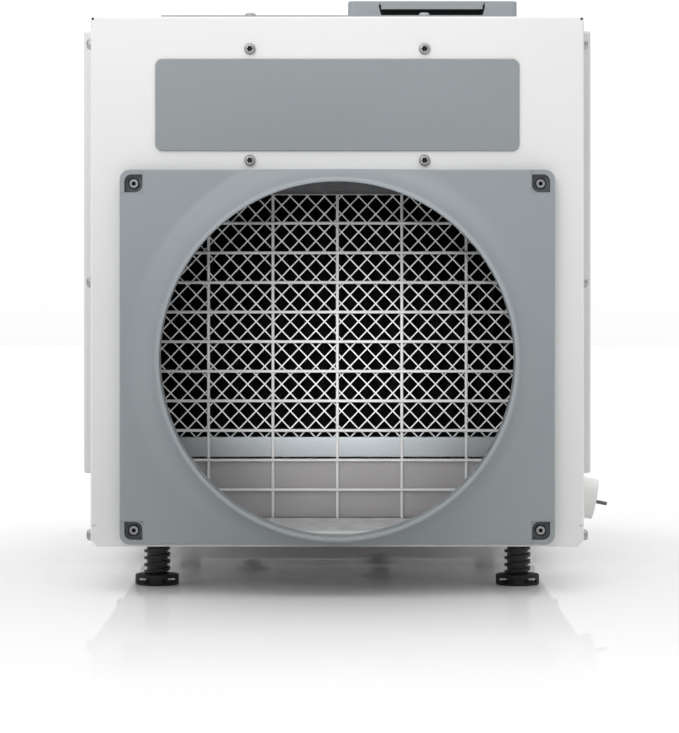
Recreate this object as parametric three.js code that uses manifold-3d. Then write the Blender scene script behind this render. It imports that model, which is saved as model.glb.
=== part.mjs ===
// Ducted whole-house dehumidifier: a low sheet-metal cabinet on four levelling feet. Air enters a
// round collar at the front, passes a filter and two coils, and a blower sends it out at the rear.
// Millimetres. The cabinet frame has X to the right, Y from the front face to the rear, and Z up
// from the cabinet's underside. The exported group moves that frame so that the origin lies on the
// floor, under the middle of the whole object.
import * as THREE from "three";
import { mergeVertices } from "three/addons/utils/BufferGeometryUtils.js";
import Module from "manifold-3d";

const wasm = await Module();
wasm.setup();

// ---- Driving dimensions ----
const WIDTH = 350;
const HEIGHT = 376;
const LENGTH = 612;
const SHEET = 1.2;
const GAP = 0.3; // between touching pieces
const FLANGE = 22; // depth of the end panels' turned edges
const PAN_HEIGHT = 16; // side flange of the base pan

const COLLAR = { radius: 127, bore: 122.7, z: 133.8, reach: 45, sides: 40 }; // 10 inch duct collar
const PLATE = { width: 307, low: 2.4, high: 266.9, thick: 12, corner: 7 };
const POCKET = { size: 12.6, inset: 3.4, corner: 5, floor: 4.5 }; // screw pockets of the plate
const FLARE = { radius: 150, lip: 2.5 }; // where the collar's outside runs out into the plate
const NAMEPLATE = { width: 258, low: 280.5, high: 345.7, thick: 1.5, corner: 5 };
const LINER = { half: 150, low: 13.3, high: 253.5, depth: 97.5, floor: 98, sideLow: 66 };
const GUARD = { wire: 2.2, rows: 12, rowPitch: 21.96, columns: 5, columnPitch: 47.8, half: 156, y: 98 };
const FILTER = { half: 150, low: 59.8, high: 266.4, front: 104.3, thick: 25, border: 12, pleats: 18 };
const RAIL_FRONT = 102.4;
const RAIL_LIP = 14.9;
const BLANK_TOP = 55; // upper edge of the panel below the filter
const SHELF_Z = 272; // floor of the electrical compartment
const PIPES = { right: 162, low: 70, high: 250 }; // where the long pipes run
const WIRE_HOLE = { y: 99, radius: 6 }; // from the control unit down into the cabinet

const COIL = { half: 148, low: 40, high: 262, thick: 44, plate: 2, evaporator: 137, condenser: 190 };
const PAN = { half: 148, front: 106, rear: 238, low: 20, high: 38, wall: 1.5 };
const SPOUT = { y: 120, z: 28.9, tilt: 11, radius: 15.3, tip: 14.9, reach: 18, bore: 9.4, neck: 8.6 };
const PLUG = { radius: 9, thick: 8, stem: 1.2, stemReach: 11 };

const FAN = { z: 142, throat: 80, radius: 110, front: 266, back: 318, blades: 7, hub: 18 };
const BULKHEAD_Y = 246;
const MOTOR = { radius: 48, front: 327, back: 380, shaft: 5 };
const COMPRESSOR = { y: 531, radius: 60, low: 26, high: 204, boltCircle: 75 };
const OUTLET = { radius: 101.6, bore: 98.6, z: 150, reach: 45, flange: 116 }; // 8 inch collar

const ACCESS = { front: 46, rear: 566, low: 49.3, high: 370, proud: 8.5 }; // side panels
// "height" is from the floor to the cabinet; the stem rises above that by "rise".
const FOOT = { x: 131, inset: 56, height: 32, pad: 15.8, padHigh: 9.8, stem: 9.2, rise: 18, journal: 6.4 };
const FOOT_NUT = { radius: 15, hole: 9.9, height: 13 };

const CONTROL = { x: 68.1, width: 120.6, front: 32, rear: 116, high: 13.7 };
const LID = { width: 75, rear: 102.6, skirtLow: 7.8, thick: 2.2, axisY: 101, axisZ: 12.3 };
const DECK = 8.4; // level under the lid that carries the buttons and the display
const BUTTON_NAMES = ["button_mode", "button_down", "button_up"];
const BUTTON = { pitch: 20, width: 12, depth: 8, corner: 1.5, y: 86, proud: 1.3, sunk: 2.6, gap: 0.4 };
const DISPLAY = { half: 26, front: 52, rear: 74, corner: 2 };

// ---- Shape helpers ----

// A closed geometry as a solid, turned the right way out.
function toSolid(geometry) {
  const bare = new THREE.BufferGeometry();
  const flat = geometry.index ? geometry.toNonIndexed() : geometry;
  bare.setAttribute("position", flat.getAttribute("position").clone());
  const merged = mergeVertices(bare, 1e-4);
  const triangles = new Uint32Array(merged.index.array);
  const corners = merged.attributes.position.array;
  const solid = new wasm.Manifold(
    new wasm.Mesh({ numProp: 3, vertProperties: corners, triVerts: triangles }),
  );
  if (solid.volume() >= 0) return solid;
  return new wasm.Manifold(
    new wasm.Mesh({ numProp: 3, vertProperties: corners, triVerts: triangles.reverse() }),
  );
}

function toGeometry(solid) {
  const raw = solid.getMesh();
  const geometry = new THREE.BufferGeometry();
  geometry.setAttribute("position", new THREE.BufferAttribute(raw.vertProperties, 3));
  geometry.setIndex(new THREE.BufferAttribute(raw.triVerts, 1));
  geometry.computeVertexNormals();
  return geometry;
}

function union(...geometries) {
  return geometries.map(toSolid).reduce((all, one) => all.add(one));
}

function cut(solid, ...geometries) {
  return geometries.map(toSolid).reduce((all, one) => all.subtract(one), solid);
}

function block(x0, x1, y0, y1, z0, z1) {
  return new THREE.BoxGeometry(x1 - x0, y1 - y0, z1 - z0).translate(
    (x0 + x1) / 2,
    (y0 + y1) / 2,
    (z0 + z1) / 2,
  );
}

// A cylinder along X, Y or Z from one end to the other; the centre gives the other two coordinates.
function rod(axis, radius, from, to, centre, sides = 24) {
  const geometry = new THREE.CylinderGeometry(radius, radius, to - from, sides);
  const middle = (from + to) / 2;
  if (axis === "x") return geometry.rotateZ(-Math.PI / 2).translate(middle, centre[0], centre[1]);
  if (axis === "y") return geometry.translate(centre[0], middle, centre[1]);
  return geometry.rotateX(Math.PI / 2).translate(centre[0], centre[1], middle);
}

// A profile of [radius, distance] points turned about the Y axis or the Z axis.
function turned(axis, profile, centre, sides = 40) {
  const points = profile.map(([radius, along]) => new THREE.Vector2(radius, along));
  const geometry = new THREE.LatheGeometry(points, sides);
  if (axis === "y") return geometry.translate(centre[0], 0, centre[1]);
  return geometry.rotateX(Math.PI / 2).translate(centre[0], centre[1], 0);
}

// A ring-shaped profile closes on its first point.
function ring(axis, profile, centre, sides) {
  return turned(axis, [...profile, profile[0]], centre, sides);
}

// An upright plate: a shape in X and Z, from y0 to y1.
function plate(shape, y0, y1, curveSegments = 6) {
  const geometry = new THREE.ExtrudeGeometry(shape, {
    depth: y1 - y0,
    bevelEnabled: false,
    curveSegments,
  });
  return geometry.rotateX(Math.PI / 2).translate(0, y1, 0);
}

// A level plate: a shape in X and Y, from z0 to z1.
function slab(shape, z0, z1, curveSegments = 6) {
  const geometry = new THREE.ExtrudeGeometry(shape, {
    depth: z1 - z0,
    bevelEnabled: false,
    curveSegments,
  });
  return geometry.translate(0, 0, z0);
}

// A bar across the cabinet: a shape in Y and Z, reaching the same distance to either side.
function crossbar(shape, half) {
  const geometry = new THREE.ExtrudeGeometry(shape, { depth: 2 * half, bevelEnabled: false });
  const turn = new THREE.Matrix4().makeBasis(
    new THREE.Vector3(0, 1, 0),
    new THREE.Vector3(0, 0, 1),
    new THREE.Vector3(1, 0, 0),
  );
  return geometry.applyMatrix4(turn).translate(-half, 0, 0);
}

function outline(points) {
  return new THREE.Shape(points.map(([x, y]) => new THREE.Vector2(x, y)));
}

// A rectangle with round corners: one radius, or four that run anticlockwise from the lower left.
function roundedRectangle(x0, x1, y0, y1, radii) {
  const [lowLeft, lowRight, highRight, highLeft] = Array.isArray(radii) ? radii : Array(4).fill(radii);
  const shape = new THREE.Shape();
  shape.moveTo(x0 + lowLeft, y0);
  shape.lineTo(x1 - lowRight, y0);
  if (lowRight) shape.absarc(x1 - lowRight, y0 + lowRight, lowRight, -Math.PI / 2, 0);
  shape.lineTo(x1, y1 - highRight);
  if (highRight) shape.absarc(x1 - highRight, y1 - highRight, highRight, 0, Math.PI / 2);
  shape.lineTo(x0 + highLeft, y1);
  if (highLeft) shape.absarc(x0 + highLeft, y1 - highLeft, highLeft, Math.PI / 2, Math.PI);
  shape.lineTo(x0, y0 + lowLeft);
  if (lowLeft) shape.absarc(x0 + lowLeft, y0 + lowLeft, lowLeft, Math.PI, Math.PI * 1.5);
  return shape;
}

function circleHole(x, y, radius) {
  const hole = new THREE.Path();
  hole.absarc(x, y, radius, 0, Math.PI * 2, true);
  return hole;
}

// A round pipe along a smooth line through the points.
function pipe(points, radius, steps, sides = 8) {
  const section = outline(
    Array.from({ length: sides }, (_, side) => {
      const angle = (side / sides) * Math.PI * 2;
      return [radius * Math.cos(angle), radius * Math.sin(angle)];
    }),
  );
  const path = new THREE.CatmullRomCurve3(
    points.map((point) => new THREE.Vector3(...point)),
    false,
    "centripetal",
  );
  return new THREE.ExtrudeGeometry(section, { steps, extrudePath: path });
}

const PAINT = { color: 0xf1f1f0, roughness: 0.42, metalness: 0 };
const GREY_PLASTIC = { color: 0x9ba1a5, roughness: 0.5, metalness: 0 };
const BLACK_PLASTIC = { color: 0x1b1c1d, roughness: 0.5, metalness: 0 };
const WHITE_PLASTIC = { color: 0xe6e6e4, roughness: 0.4, metalness: 0 };
const GALVANISED = { color: 0xb9bcbe, roughness: 0.4, metalness: 0.9 };
const STEEL = { color: 0xa9abad, roughness: 0.3, metalness: 1 };
const ALUMINIUM = { color: 0xc9cbcd, roughness: 0.35, metalness: 1 };
const COPPER = { color: 0xb8734a, roughness: 0.3, metalness: 1 };
const BLACK_PAINT = { color: 0x161616, roughness: 0.4, metalness: 0.1 };
const RUBBER = { color: 0x202020, roughness: 0.85, metalness: 0 };
const MEDIA = { color: 0x0e0e0e, roughness: 0.95, metalness: 0 };
const CARD = { color: 0x8d8b86, roughness: 0.9, metalness: 0 };
const BOARD = { color: 0x1f5a35, roughness: 0.5, metalness: 0 };
const DARK_GLASS = { color: 0x101418, roughness: 0.1, metalness: 0 };

function piece(name, shape, look) {
  const geometry = shape.isBufferGeometry ? shape : toGeometry(shape);
  const mesh = new THREE.Mesh(geometry, new THREE.MeshStandardMaterial(look));
  mesh.name = name;
  return mesh;
}

const dehumidifier = new THREE.Group();
// The whole object reaches from the left access panel to the plug's stem, and from the inlet
// collar's rim to the outlet collar's rim; its middle goes over the origin.
const tilt = THREE.MathUtils.degToRad(SPOUT.tilt);
const stemOut = (SPOUT.reach + PLUG.stemReach) * Math.cos(tilt) + PLUG.stem * Math.sin(tilt);
const stemEnd = WIDTH / 2 + stemOut;
const middleX = (stemEnd - (WIDTH / 2 + ACCESS.proud)) / 2;
const middleY = (LENGTH + OUTLET.reach - COLLAR.reach) / 2;
dehumidifier.position.set(-middleX, -middleY, FOOT.height);

// ---- Cabinet ----

// A sheet bent over the top and down both sides, lying inside the cabinet's outline by an offset.
function arch(offset, thick, low, y0, y1) {
  const out = WIDTH / 2 - offset;
  const top = HEIGHT - offset;
  const inner = out - thick;
  const shape = outline([
    [-out, low],
    [-inner, low],
    [-inner, top - thick],
    [inner, top - thick],
    [inner, low],
    [out, low],
    [out, top],
    [-out, top],
  ]);
  return plate(shape, y0, y1);
}

function basePan() {
  const half = WIDTH / 2;
  const front = SHEET + GAP;
  const rear = LENGTH - SHEET - GAP;
  const endHeight = 11;
  let pan = union(
    block(-half, half, front, rear, 0, SHEET),
    block(-half, -half + SHEET, front, rear, 0, PAN_HEIGHT),
    block(half - SHEET, half, front, rear, 0, PAN_HEIGHT),
    block(-half, half, front, front + SHEET, 0, endHeight),
    block(-half, half, rear - SHEET, rear, 0, endHeight),
  );
  const nut = FOOT_NUT;
  for (const place of footPlaces()) {
    pan = pan.add(toSolid(rod("z", nut.radius, 0, nut.height, place, 6)));
    pan = cut(pan, rod("z", nut.hole, -1, nut.height + 1, place, 20));
  }
  const boltHole = 4.5;
  for (const place of boltPlaces()) {
    pan = cut(pan, rod("z", boltHole, -1, SHEET + 1, place, 12));
  }
  return piece("base_pan", pan, GALVANISED);
}

// The wrap's ends step inwards as tongues that run under the end panels' turned edges.
function cabinetWrap() {
  const side = PAN_HEIGHT + GAP;
  const front = FLANGE + GAP;
  const tongueStart = 3;
  const tongueEnd = 36;
  const inset = SHEET + GAP;
  const step = { offset: SHEET - 0.1, thick: 0.5, y: front + 2 };
  const wrap = union(
    arch(0, SHEET, side, front, LENGTH - front),
    arch(inset, SHEET, side, tongueStart, tongueEnd),
    arch(step.offset, step.thick, side, step.y, tongueEnd),
    arch(inset, SHEET, side, LENGTH - tongueEnd, LENGTH - tongueStart),
    arch(step.offset, step.thick, side, LENGTH - tongueEnd, LENGTH - step.y),
  );
  const clear = 3;
  const filterSlot = block(
    -WIDTH / 2 - 1,
    -WIDTH / 2 + 5,
    RAIL_FRONT - 0.5,
    FILTER.front + FILTER.thick + clear,
    FILTER.low - clear,
    FILTER.high + clear,
  );
  const margin = 26; // between a side panel's edge and the hole it covers
  const inside = WIDTH / 2 - 5;
  const outside = WIDTH / 2 + 1;
  const serviceHole = block(
    inside,
    outside,
    ACCESS.front + margin,
    ACCESS.rear - margin,
    ACCESS.low + margin,
    ACCESS.high - margin,
  );
  const spoutHole = rod("x", SPOUT.neck + 2, inside, outside, [SPOUT.y, SPOUT.z], 20);
  const wireHole = rod("z", WIRE_HOLE.radius + 1, HEIGHT - 5, HEIGHT + 1, [CONTROL.x, WIRE_HOLE.y], 12);
  return piece("cabinet_wrap", cut(wrap, filterSlot, serviceHole, spoutHole, wireHole), PAINT);
}

// The two end panels are alike: a face with its lower corners cut off, and edges turned inwards.
function endPanel(name, hole) {
  const half = WIDTH / 2;
  const chamfer = 4.5;
  const face = outline([
    [-half + chamfer, 0],
    [half - chamfer, 0],
    [half, chamfer],
    [half, HEIGHT],
    [-half, HEIGHT],
    [-half, chamfer],
  ]);
  face.holes.push(circleHole(0, hole.z, hole.radius));
  const low = PAN_HEIGHT + GAP;
  const panel = union(
    plate(face, 0, SHEET, 24),
    block(-half, -half + SHEET, 0, FLANGE, low, HEIGHT),
    block(half - SHEET, half, 0, FLANGE, low, HEIGHT),
    block(-half, half, 0, FLANGE, HEIGHT - SHEET, HEIGHT),
  );
  return piece(name, panel, PAINT);
}

function rearPanel() {
  const panel = endPanel("rear_panel", { z: OUTLET.z, radius: OUTLET.bore });
  panel.rotation.z = Math.PI;
  panel.position.y = LENGTH;
  return panel;
}

// A shallow tray that covers one side; side is -1 for the left and 1 for the right.
function accessPanel(name, side) {
  const inner = WIDTH / 2 + GAP;
  const outer = WIDTH / 2 + ACCESS.proud;
  const tray = cut(
    toSolid(block(inner, outer, ACCESS.front, ACCESS.rear, ACCESS.low, ACCESS.high)),
    block(
      inner - 1,
      outer - SHEET,
      ACCESS.front + SHEET,
      ACCESS.rear - SHEET,
      ACCESS.low + SHEET,
      ACCESS.high - SHEET,
    ),
  );
  const panel = piece(name, tray, PAINT);
  if (side < 0) {
    panel.rotation.z = Math.PI;
    panel.position.y = ACCESS.front + ACCESS.rear;
  }
  return panel;
}

// ---- Inlet end ----

function inletShroud() {
  const half = PLATE.width / 2;
  const corner = PLATE.corner;
  const back = -GAP;
  const face = back - PLATE.thick;
  const outlineOfPlate = () => roundedRectangle(-half, half, PLATE.low, PLATE.high, corner);
  const base = toSolid(plate(outlineOfPlate(), face, back, 3));
  const rimY = face + PLATE.thick - COLLAR.reach + GAP;
  const flare = [];
  const steps = 4;
  for (let i = 0; i <= steps; i++) {
    const turn = (i / steps) * (Math.PI / 2);
    flare.push([
      FLARE.radius - (FLARE.radius - COLLAR.radius) * Math.sin(turn),
      face - (face - rimY - FLARE.lip) * (1 - Math.cos(turn)),
    ]);
  }
  const inside = COLLAR.bore - 3; // trimmed to the bore below
  const collar = ring(
    "y",
    [
      [inside, face + 2],
      [FLARE.radius, face + 2],
      ...flare,
      [COLLAR.radius, rimY],
      [inside, rimY],
    ],
    [0, COLLAR.z],
    COLLAR.sides,
  );
  const clipped = toSolid(collar).intersect(toSolid(plate(outlineOfPlate(), rimY - 1, back, 3)));
  const bore = rod("y", COLLAR.bore, rimY - 1, back + 1, [0, COLLAR.z], COLLAR.sides);
  let shroud = cut(base.add(clipped), bore);
  const screwHole = 2.2;
  for (const [x, z, right, high] of pocketPlaces()) {
    const reach = POCKET.size / 2;
    const round = POCKET.corner;
    const outerAndInner = right === high ? [round, 0, round, 0] : [0, round, 0, round];
    const pocket = roundedRectangle(x - reach, x + reach, z - reach, z + reach, outerAndInner);
    shroud = cut(
      shroud,
      plate(pocket, face - 1, -POCKET.floor, 2),
      rod("y", screwHole, -POCKET.floor - 1, 1, [x, z], 10),
    );
  }
  return piece("inlet_shroud", shroud, GREY_PLASTIC);
}

// Middle of each corner pocket, with 1 or -1 for right or left and for high or low.
function pocketPlaces() {
  const x = PLATE.width / 2 - POCKET.inset - POCKET.size / 2;
  const inset = POCKET.inset + POCKET.size / 2;
  return [
    [-x, PLATE.low + inset, -1, -1],
    [x, PLATE.low + inset, 1, -1],
    [x, PLATE.high - inset, 1, 1],
    [-x, PLATE.high - inset, -1, 1],
  ];
}

function shroudScrew(name, [x, z]) {
  const seat = -POCKET.floor - GAP;
  const top = seat - 2.4;
  const profile = [
    [0, top + 1.4],
    [1.2, top + 1.4],
    [1.2, top],
    [2.4, top],
    [3.4, top + 1],
    [3.4, seat],
    [1.8, seat],
    [1.8, -1],
    [0, -1],
  ];
  return piece(name, turned("y", profile, [x, z], 10), STEEL);
}

function nameplate() {
  const half = NAMEPLATE.width / 2;
  const shape = roundedRectangle(-half, half, NAMEPLATE.low, NAMEPLATE.high, NAMEPLATE.corner);
  return piece("nameplate", plate(shape, -GAP - NAMEPLATE.thick, -GAP, 4), GREY_PLASTIC);
}

// The duct's lower corners are cut off, which leaves room for the front feet.
function ductSection(grow) {
  const half = LINER.half + grow;
  return outline([
    [-LINER.floor - grow / 2, LINER.low - grow],
    [LINER.floor + grow / 2, LINER.low - grow],
    [half, LINER.sideLow - grow / 2],
    [half, LINER.high + grow],
    [-half, LINER.high + grow],
    [-half, LINER.sideLow - grow / 2],
  ]);
}

function inletLiner() {
  const lip = 5;
  const duct = cut(
    union(
      plate(ductSection(SHEET), SHEET + GAP, LINER.depth),
      plate(ductSection(lip), LINER.depth - SHEET, LINER.depth),
    ),
    plate(ductSection(0), 0, LINER.depth + 1),
  );
  return piece("inlet_liner", duct, GALVANISED);
}

// Level wires in front, upright wires welded behind them.
function inletGuard() {
  const { wire, rows, rowPitch, columns, columnPitch, half, y } = GUARD;
  const sink = 0.4;
  const top = LINER.high;
  const wires = [];
  for (let row = 0; row < rows; row++) {
    const z = top - row * rowPitch;
    wires.push(block(-half, half, y, y + wire, z - wire / 2, z + wire / 2));
  }
  for (let column = 0; column < columns; column++) {
    const x = (column - (columns - 1) / 2) * columnPitch;
    const low = top - (rows - 1) * rowPitch - 3;
    wires.push(block(x - wire / 2, x + wire / 2, y + wire - sink, y + 2 * wire - sink, low, top + 3));
  }
  return piece("inlet_guard", union(...wires), GALVANISED);
}

function lowerBlankPanel() {
  const y = RAIL_FRONT + 2 * GAP;
  const panel = block(-LINER.half, LINER.half, y, y + SHEET, LINER.low, BLANK_TOP);
  return piece("lower_blank_panel", panel, CARD);
}

// ---- Filter ----

// A channel that holds the filter's lower edge, with its high lip at the front.
function filterRail() {
  const front = RAIL_FRONT;
  const back = FILTER.front + FILTER.thick + 3 * GAP + SHEET;
  const low = FILTER.low - 2 * GAP - SHEET;
  const backLip = 8;
  const half = 171;
  const section = outline([
    [front, low],
    [back, low],
    [back, low + backLip],
    [back - SHEET, low + backLip],
    [back - SHEET, low + SHEET],
    [front + SHEET, low + SHEET],
    [front + SHEET, low + RAIL_LIP],
    [front, low + RAIL_LIP],
  ]);
  return piece("filter_rail", crossbar(section, half), GALVANISED);
}

function filterFrame() {
  const { half, low, high, front, thick, border } = FILTER;
  const frame = cut(
    toSolid(block(-half, half, front, front + thick, low, high)),
    block(-half + border, half - border, front - 1, front + thick + 1, low + border, high - border),
  );
  return piece("filter_frame", frame, CARD);
}

// Upright folds of filter cloth, seen from above as a zigzag.
function filterMedia() {
  const { half, low, high, front, thick, border, pleats } = FILTER;
  const reach = half - border - GAP;
  const cloth = 2;
  const near = front + 2.5;
  const far = front + thick - 1 - cloth;
  const pitch = (2 * reach) / pleats;
  const line = [];
  for (let fold = 0; fold < pleats; fold++) {
    line.push([-reach + fold * pitch, near]);
    line.push([-reach + (fold + 0.5) * pitch, far]);
  }
  line.push([reach, near]);
  const behind = line.map(([x, y]) => [x, y + cloth]).reverse();
  const folds = slab(outline([...line, ...behind]), low + border + GAP, high - border - GAP);
  return piece("filter_media", folds, MEDIA);
}

function filterScreen() {
  const { half, low, high, front, border } = FILTER;
  const x = half - border - GAP;
  const screen = block(-x, x, front + 0.4, front + 1.6, low + border + GAP, high - border - GAP);
  return piece("filter_screen", screen, ALUMINIUM);
}

// ---- Refrigeration ----

function coil(name, front) {
  const { half, low, high, thick, plate: sheet } = COIL;
  const fins = block(-half, half, front, front + thick, low, high);
  const ends = [-1, 1].map((side) =>
    block(
      side * half - (side < 0 ? sheet : 0),
      side * half + (side > 0 ? sheet : 0),
      front - 2,
      front + thick + 2,
      low,
      high + 4,
    ),
  );
  return piece(name, union(fins, ...ends), ALUMINIUM);
}

// A tray under the coils, with a short outlet pipe that runs into the drain spout.
function drainPan() {
  const { half, front, rear, low, high, wall } = PAN;
  const outlet = { z: SPOUT.z + 1.4, radius: 4.6, bore: 3.4, reach: 22 };
  const centre = [SPOUT.y, outlet.z];
  let pan = cut(
    toSolid(block(-half, half, front, rear, low, high)),
    block(-half + wall, half - wall, front + wall, rear - wall, low + wall, high + 1),
  );
  pan = pan.add(toSolid(rod("x", outlet.radius, half - 1, half + outlet.reach, centre, 16)));
  pan = cut(pan, rod("x", outlet.bore, half - 5, half + outlet.reach + 1, centre, 16));
  return piece("drain_pan", pan, BLACK_PLASTIC);
}

// The spout and its plug share one tilted axis that leaves the side wall outwards and down.
function drainGroup() {
  const group = new THREE.Group();
  group.position.set(WIDTH / 2, SPOUT.y, SPOUT.z);
  group.rotation.y = tilt;
  const { radius, tip, reach, bore, neck } = SPOUT;
  const recess = 1.5; // from the spout's end face in to the plug
  const seat = reach - recess - PLUG.thick - GAP;
  const inner = 6.6;
  const back = -10;
  const shoulder = -4;
  const profile = [
    [neck, back],
    [neck, shoulder],
    [radius, shoulder],
    [tip, reach],
    [bore, reach],
    [bore, seat],
    [inner, seat],
    [inner, back],
  ];
  const along = new THREE.Matrix4().makeRotationZ(-Math.PI / 2);
  const sleeve = ring("y", profile, [0, 0], 18).applyMatrix4(along);
  const wallPlane = block(-60, GAP, -40, 40, -40, 40).rotateY(-tilt);
  const neckZone = rod("x", neck + 0.01, -20, 3, [0, 0], 18);
  const inside = toSolid(wallPlane).subtract(toSolid(neckZone));
  group.add(piece("drain_spout", toSolid(sleeve).subtract(inside), WHITE_PLASTIC));
  const plug = union(
    rod("x", PLUG.radius, seat + GAP, seat + GAP + PLUG.thick, [0, 0], 20),
    rod("x", PLUG.stem, seat + 4, reach + PLUG.stemReach, [0, 0], 10),
  );
  group.add(piece("drain_plug", plug, GREY_PLASTIC));
  return group;
}

function compressorShell() {
  const { y, radius, low, high } = COMPRESSOR;
  const dome = 30;
  const profile = [
    [0, low],
    [radius * 0.6, low],
    [radius * 0.92, low + 8],
    [radius, low + 24],
    [radius, high - dome],
    [radius * 0.95, high - dome * 0.55],
    [radius * 0.75, high - dome * 0.2],
    [radius * 0.4, high - 2],
    [0, high],
  ];
  const footHigh = low + 3;
  const foot = new THREE.Shape();
  const corner = 13;
  boltPlaces().forEach(([x, boltY], index) => {
    const away = Math.atan2(boltY - y, x);
    const start = away - Math.PI / 3;
    if (index === 0) {
      foot.moveTo(x + corner * Math.cos(start), boltY + corner * Math.sin(start));
    }
    foot.absarc(x, boltY, corner, start, away + Math.PI / 3);
  });
  let shell = union(turned("z", profile, [0, y], 20), slab(foot, low, footHigh, 3));
  const grommetHole = 7;
  for (const place of boltPlaces()) {
    shell = cut(shell, rod("z", grommetHole, low - 1, footHigh + 1, place, 10));
  }
  const hollow = rod("z", radius * 0.7, low + 24, high - dome, [0, y], 12);
  const port = rod("x", 4, radius * 0.5, radius + 5, [y, PIPES.low], 10);
  return piece("compressor_shell", cut(shell, hollow, port), BLACK_PAINT);
}

// Three bolts on a circle, anticlockwise seen from above.
function boltPlaces() {
  return [-60, 60, 180].map((degrees) => {
    const angle = THREE.MathUtils.degToRad(degrees);
    return [
      COMPRESSOR.boltCircle * Math.cos(angle),
      COMPRESSOR.y + COMPRESSOR.boltCircle * Math.sin(angle),
    ];
  });
}

// A rubber grommet round the foot plate's hole, and the bolt that holds it to the base pan.
function mountGroup(number, [x, y]) {
  const group = new THREE.Group();
  group.position.set(x, y, 0);
  const low = SHEET + GAP;
  const footLow = COMPRESSOR.low;
  const footHigh = footLow + 3;
  const top = footHigh + 5;
  const grommet = [
    [4, low],
    [11, low],
    [11, footLow - GAP],
    [6.4, footLow - GAP],
    [6.4, footHigh + GAP],
    [10, footHigh + GAP],
    [10, top],
    [4, top],
  ];
  const bolt = [
    [0, -3],
    [8, -3],
    [8, -GAP],
    [3.4, -GAP],
    [3.4, top + GAP],
    [7.5, top + GAP],
    [6, top + 6],
    [0, top + 6],
  ];
  group.add(piece("compressor_grommet_" + number, ring("z", grommet, [0, 0], 12), RUBBER));
  group.add(piece("compressor_bolt_" + number, turned("z", bolt, [0, 0], 12), STEEL));
  return group;
}

// The pipes run back along the right side, past the coils' end plates.
function pipes() {
  const { right, low, high } = PIPES;
  const y = COMPRESSOR.y;
  const evaporator = COIL.evaporator + COIL.thick / 2;
  const condenser = COIL.condenser + COIL.thick / 2;
  const edge = COIL.half + COIL.plate + 1;
  const drierY = condenser + 18;
  const suction = pipe(
    [
      [edge, evaporator, low],
      [edge + 6, evaporator + 1, low],
      [right, evaporator + 9, low],
      [right, 320, low],
      [right, y - 40, low],
      [right - 10, y - 8, low],
      [130, y, low],
      [COMPRESSOR.radius + 2, y, low],
    ],
    5,
    22,
  );
  const discharge = pipe(
    [
      [edge, condenser, high],
      [edge + 6, condenser + 1, high],
      [right, condenser + 9, high],
      [right, 340, high],
      [right, y - 40, high],
      [right - 12, y - 8, high - 2],
      [110, y, 240],
      [40, y, 237],
      [26, y, 228],
      [24, y, COMPRESSOR.high + 2],
    ],
    3.6,
    28,
  );
  const liquid = pipe(
    [
      [edge, condenser, 110],
      [edge + 6, condenser + 2, 111],
      [right, drierY - 3, 118],
      [right, drierY, 134],
    ],
    2.4,
    10,
    6,
  );
  const capillary = pipe(
    [
      [right, drierY, 196],
      [right, drierY - 2, 214],
      [right, condenser, 222],
      [right, evaporator + 14, 222],
      [edge + 6, evaporator + 2, 215],
      [edge, evaporator, 214],
    ],
    1.5,
    16,
    6,
  );
  const drier = turned(
    "z",
    [
      [0, 135],
      [3, 135],
      [8.5, 147],
      [8.5, 184],
      [3, 195],
      [0, 195],
    ],
    [right, drierY],
    12,
  );
  return [
    piece("suction_line", suction, COPPER),
    piece("discharge_line", discharge, COPPER),
    piece("liquid_line", liquid, COPPER),
    piece("capillary_tube", capillary, COPPER),
    piece("filter_drier", drier, COPPER),
  ];
}

// ---- Blower ----

// The wall behind the coils, with the bell mouth that leads into the wheel pressed into it.
function blowerBulkhead() {
  const half = WIDTH / 2 - 2 * SHEET - GAP - 2;
  const back = BULKHEAD_Y + SHEET;
  const shape = outline([
    [-half, 17],
    [half, 17],
    [half, SHELF_Z - 1],
    [-half, SHELF_Z - 1],
  ]);
  shape.holes.push(circleHole(0, FAN.z, 93));
  const throat = FAN.throat;
  const bellMouth = [
    [96, BULKHEAD_Y],
    [96, back],
    [89, back],
    [throat + 1.5, back + 9],
    [throat + 1.5, FAN.front + 3],
    [throat, FAN.front + 3],
    [throat, back + 8],
    [88, BULKHEAD_Y],
  ];
  const wall = union(
    plate(shape, BULKHEAD_Y, back, 12),
    ring("y", bellMouth, [0, FAN.z], 24),
    block(-half + 4, half - 4, BULKHEAD_Y, back, SHEET + GAP, 18),
    block(-half + 4, half - 4, BULKHEAD_Y, BULKHEAD_Y + 14, SHEET + GAP, 2 * SHEET + GAP),
  );
  const notches = [PIPES.low, PIPES.high].map((z) =>
    block(PIPES.right - 10, half + 1, BULKHEAD_Y - 1, back + 1, z - 10, z + 10),
  );
  return piece("blower_bulkhead", cut(wall, ...notches), GALVANISED);
}

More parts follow.
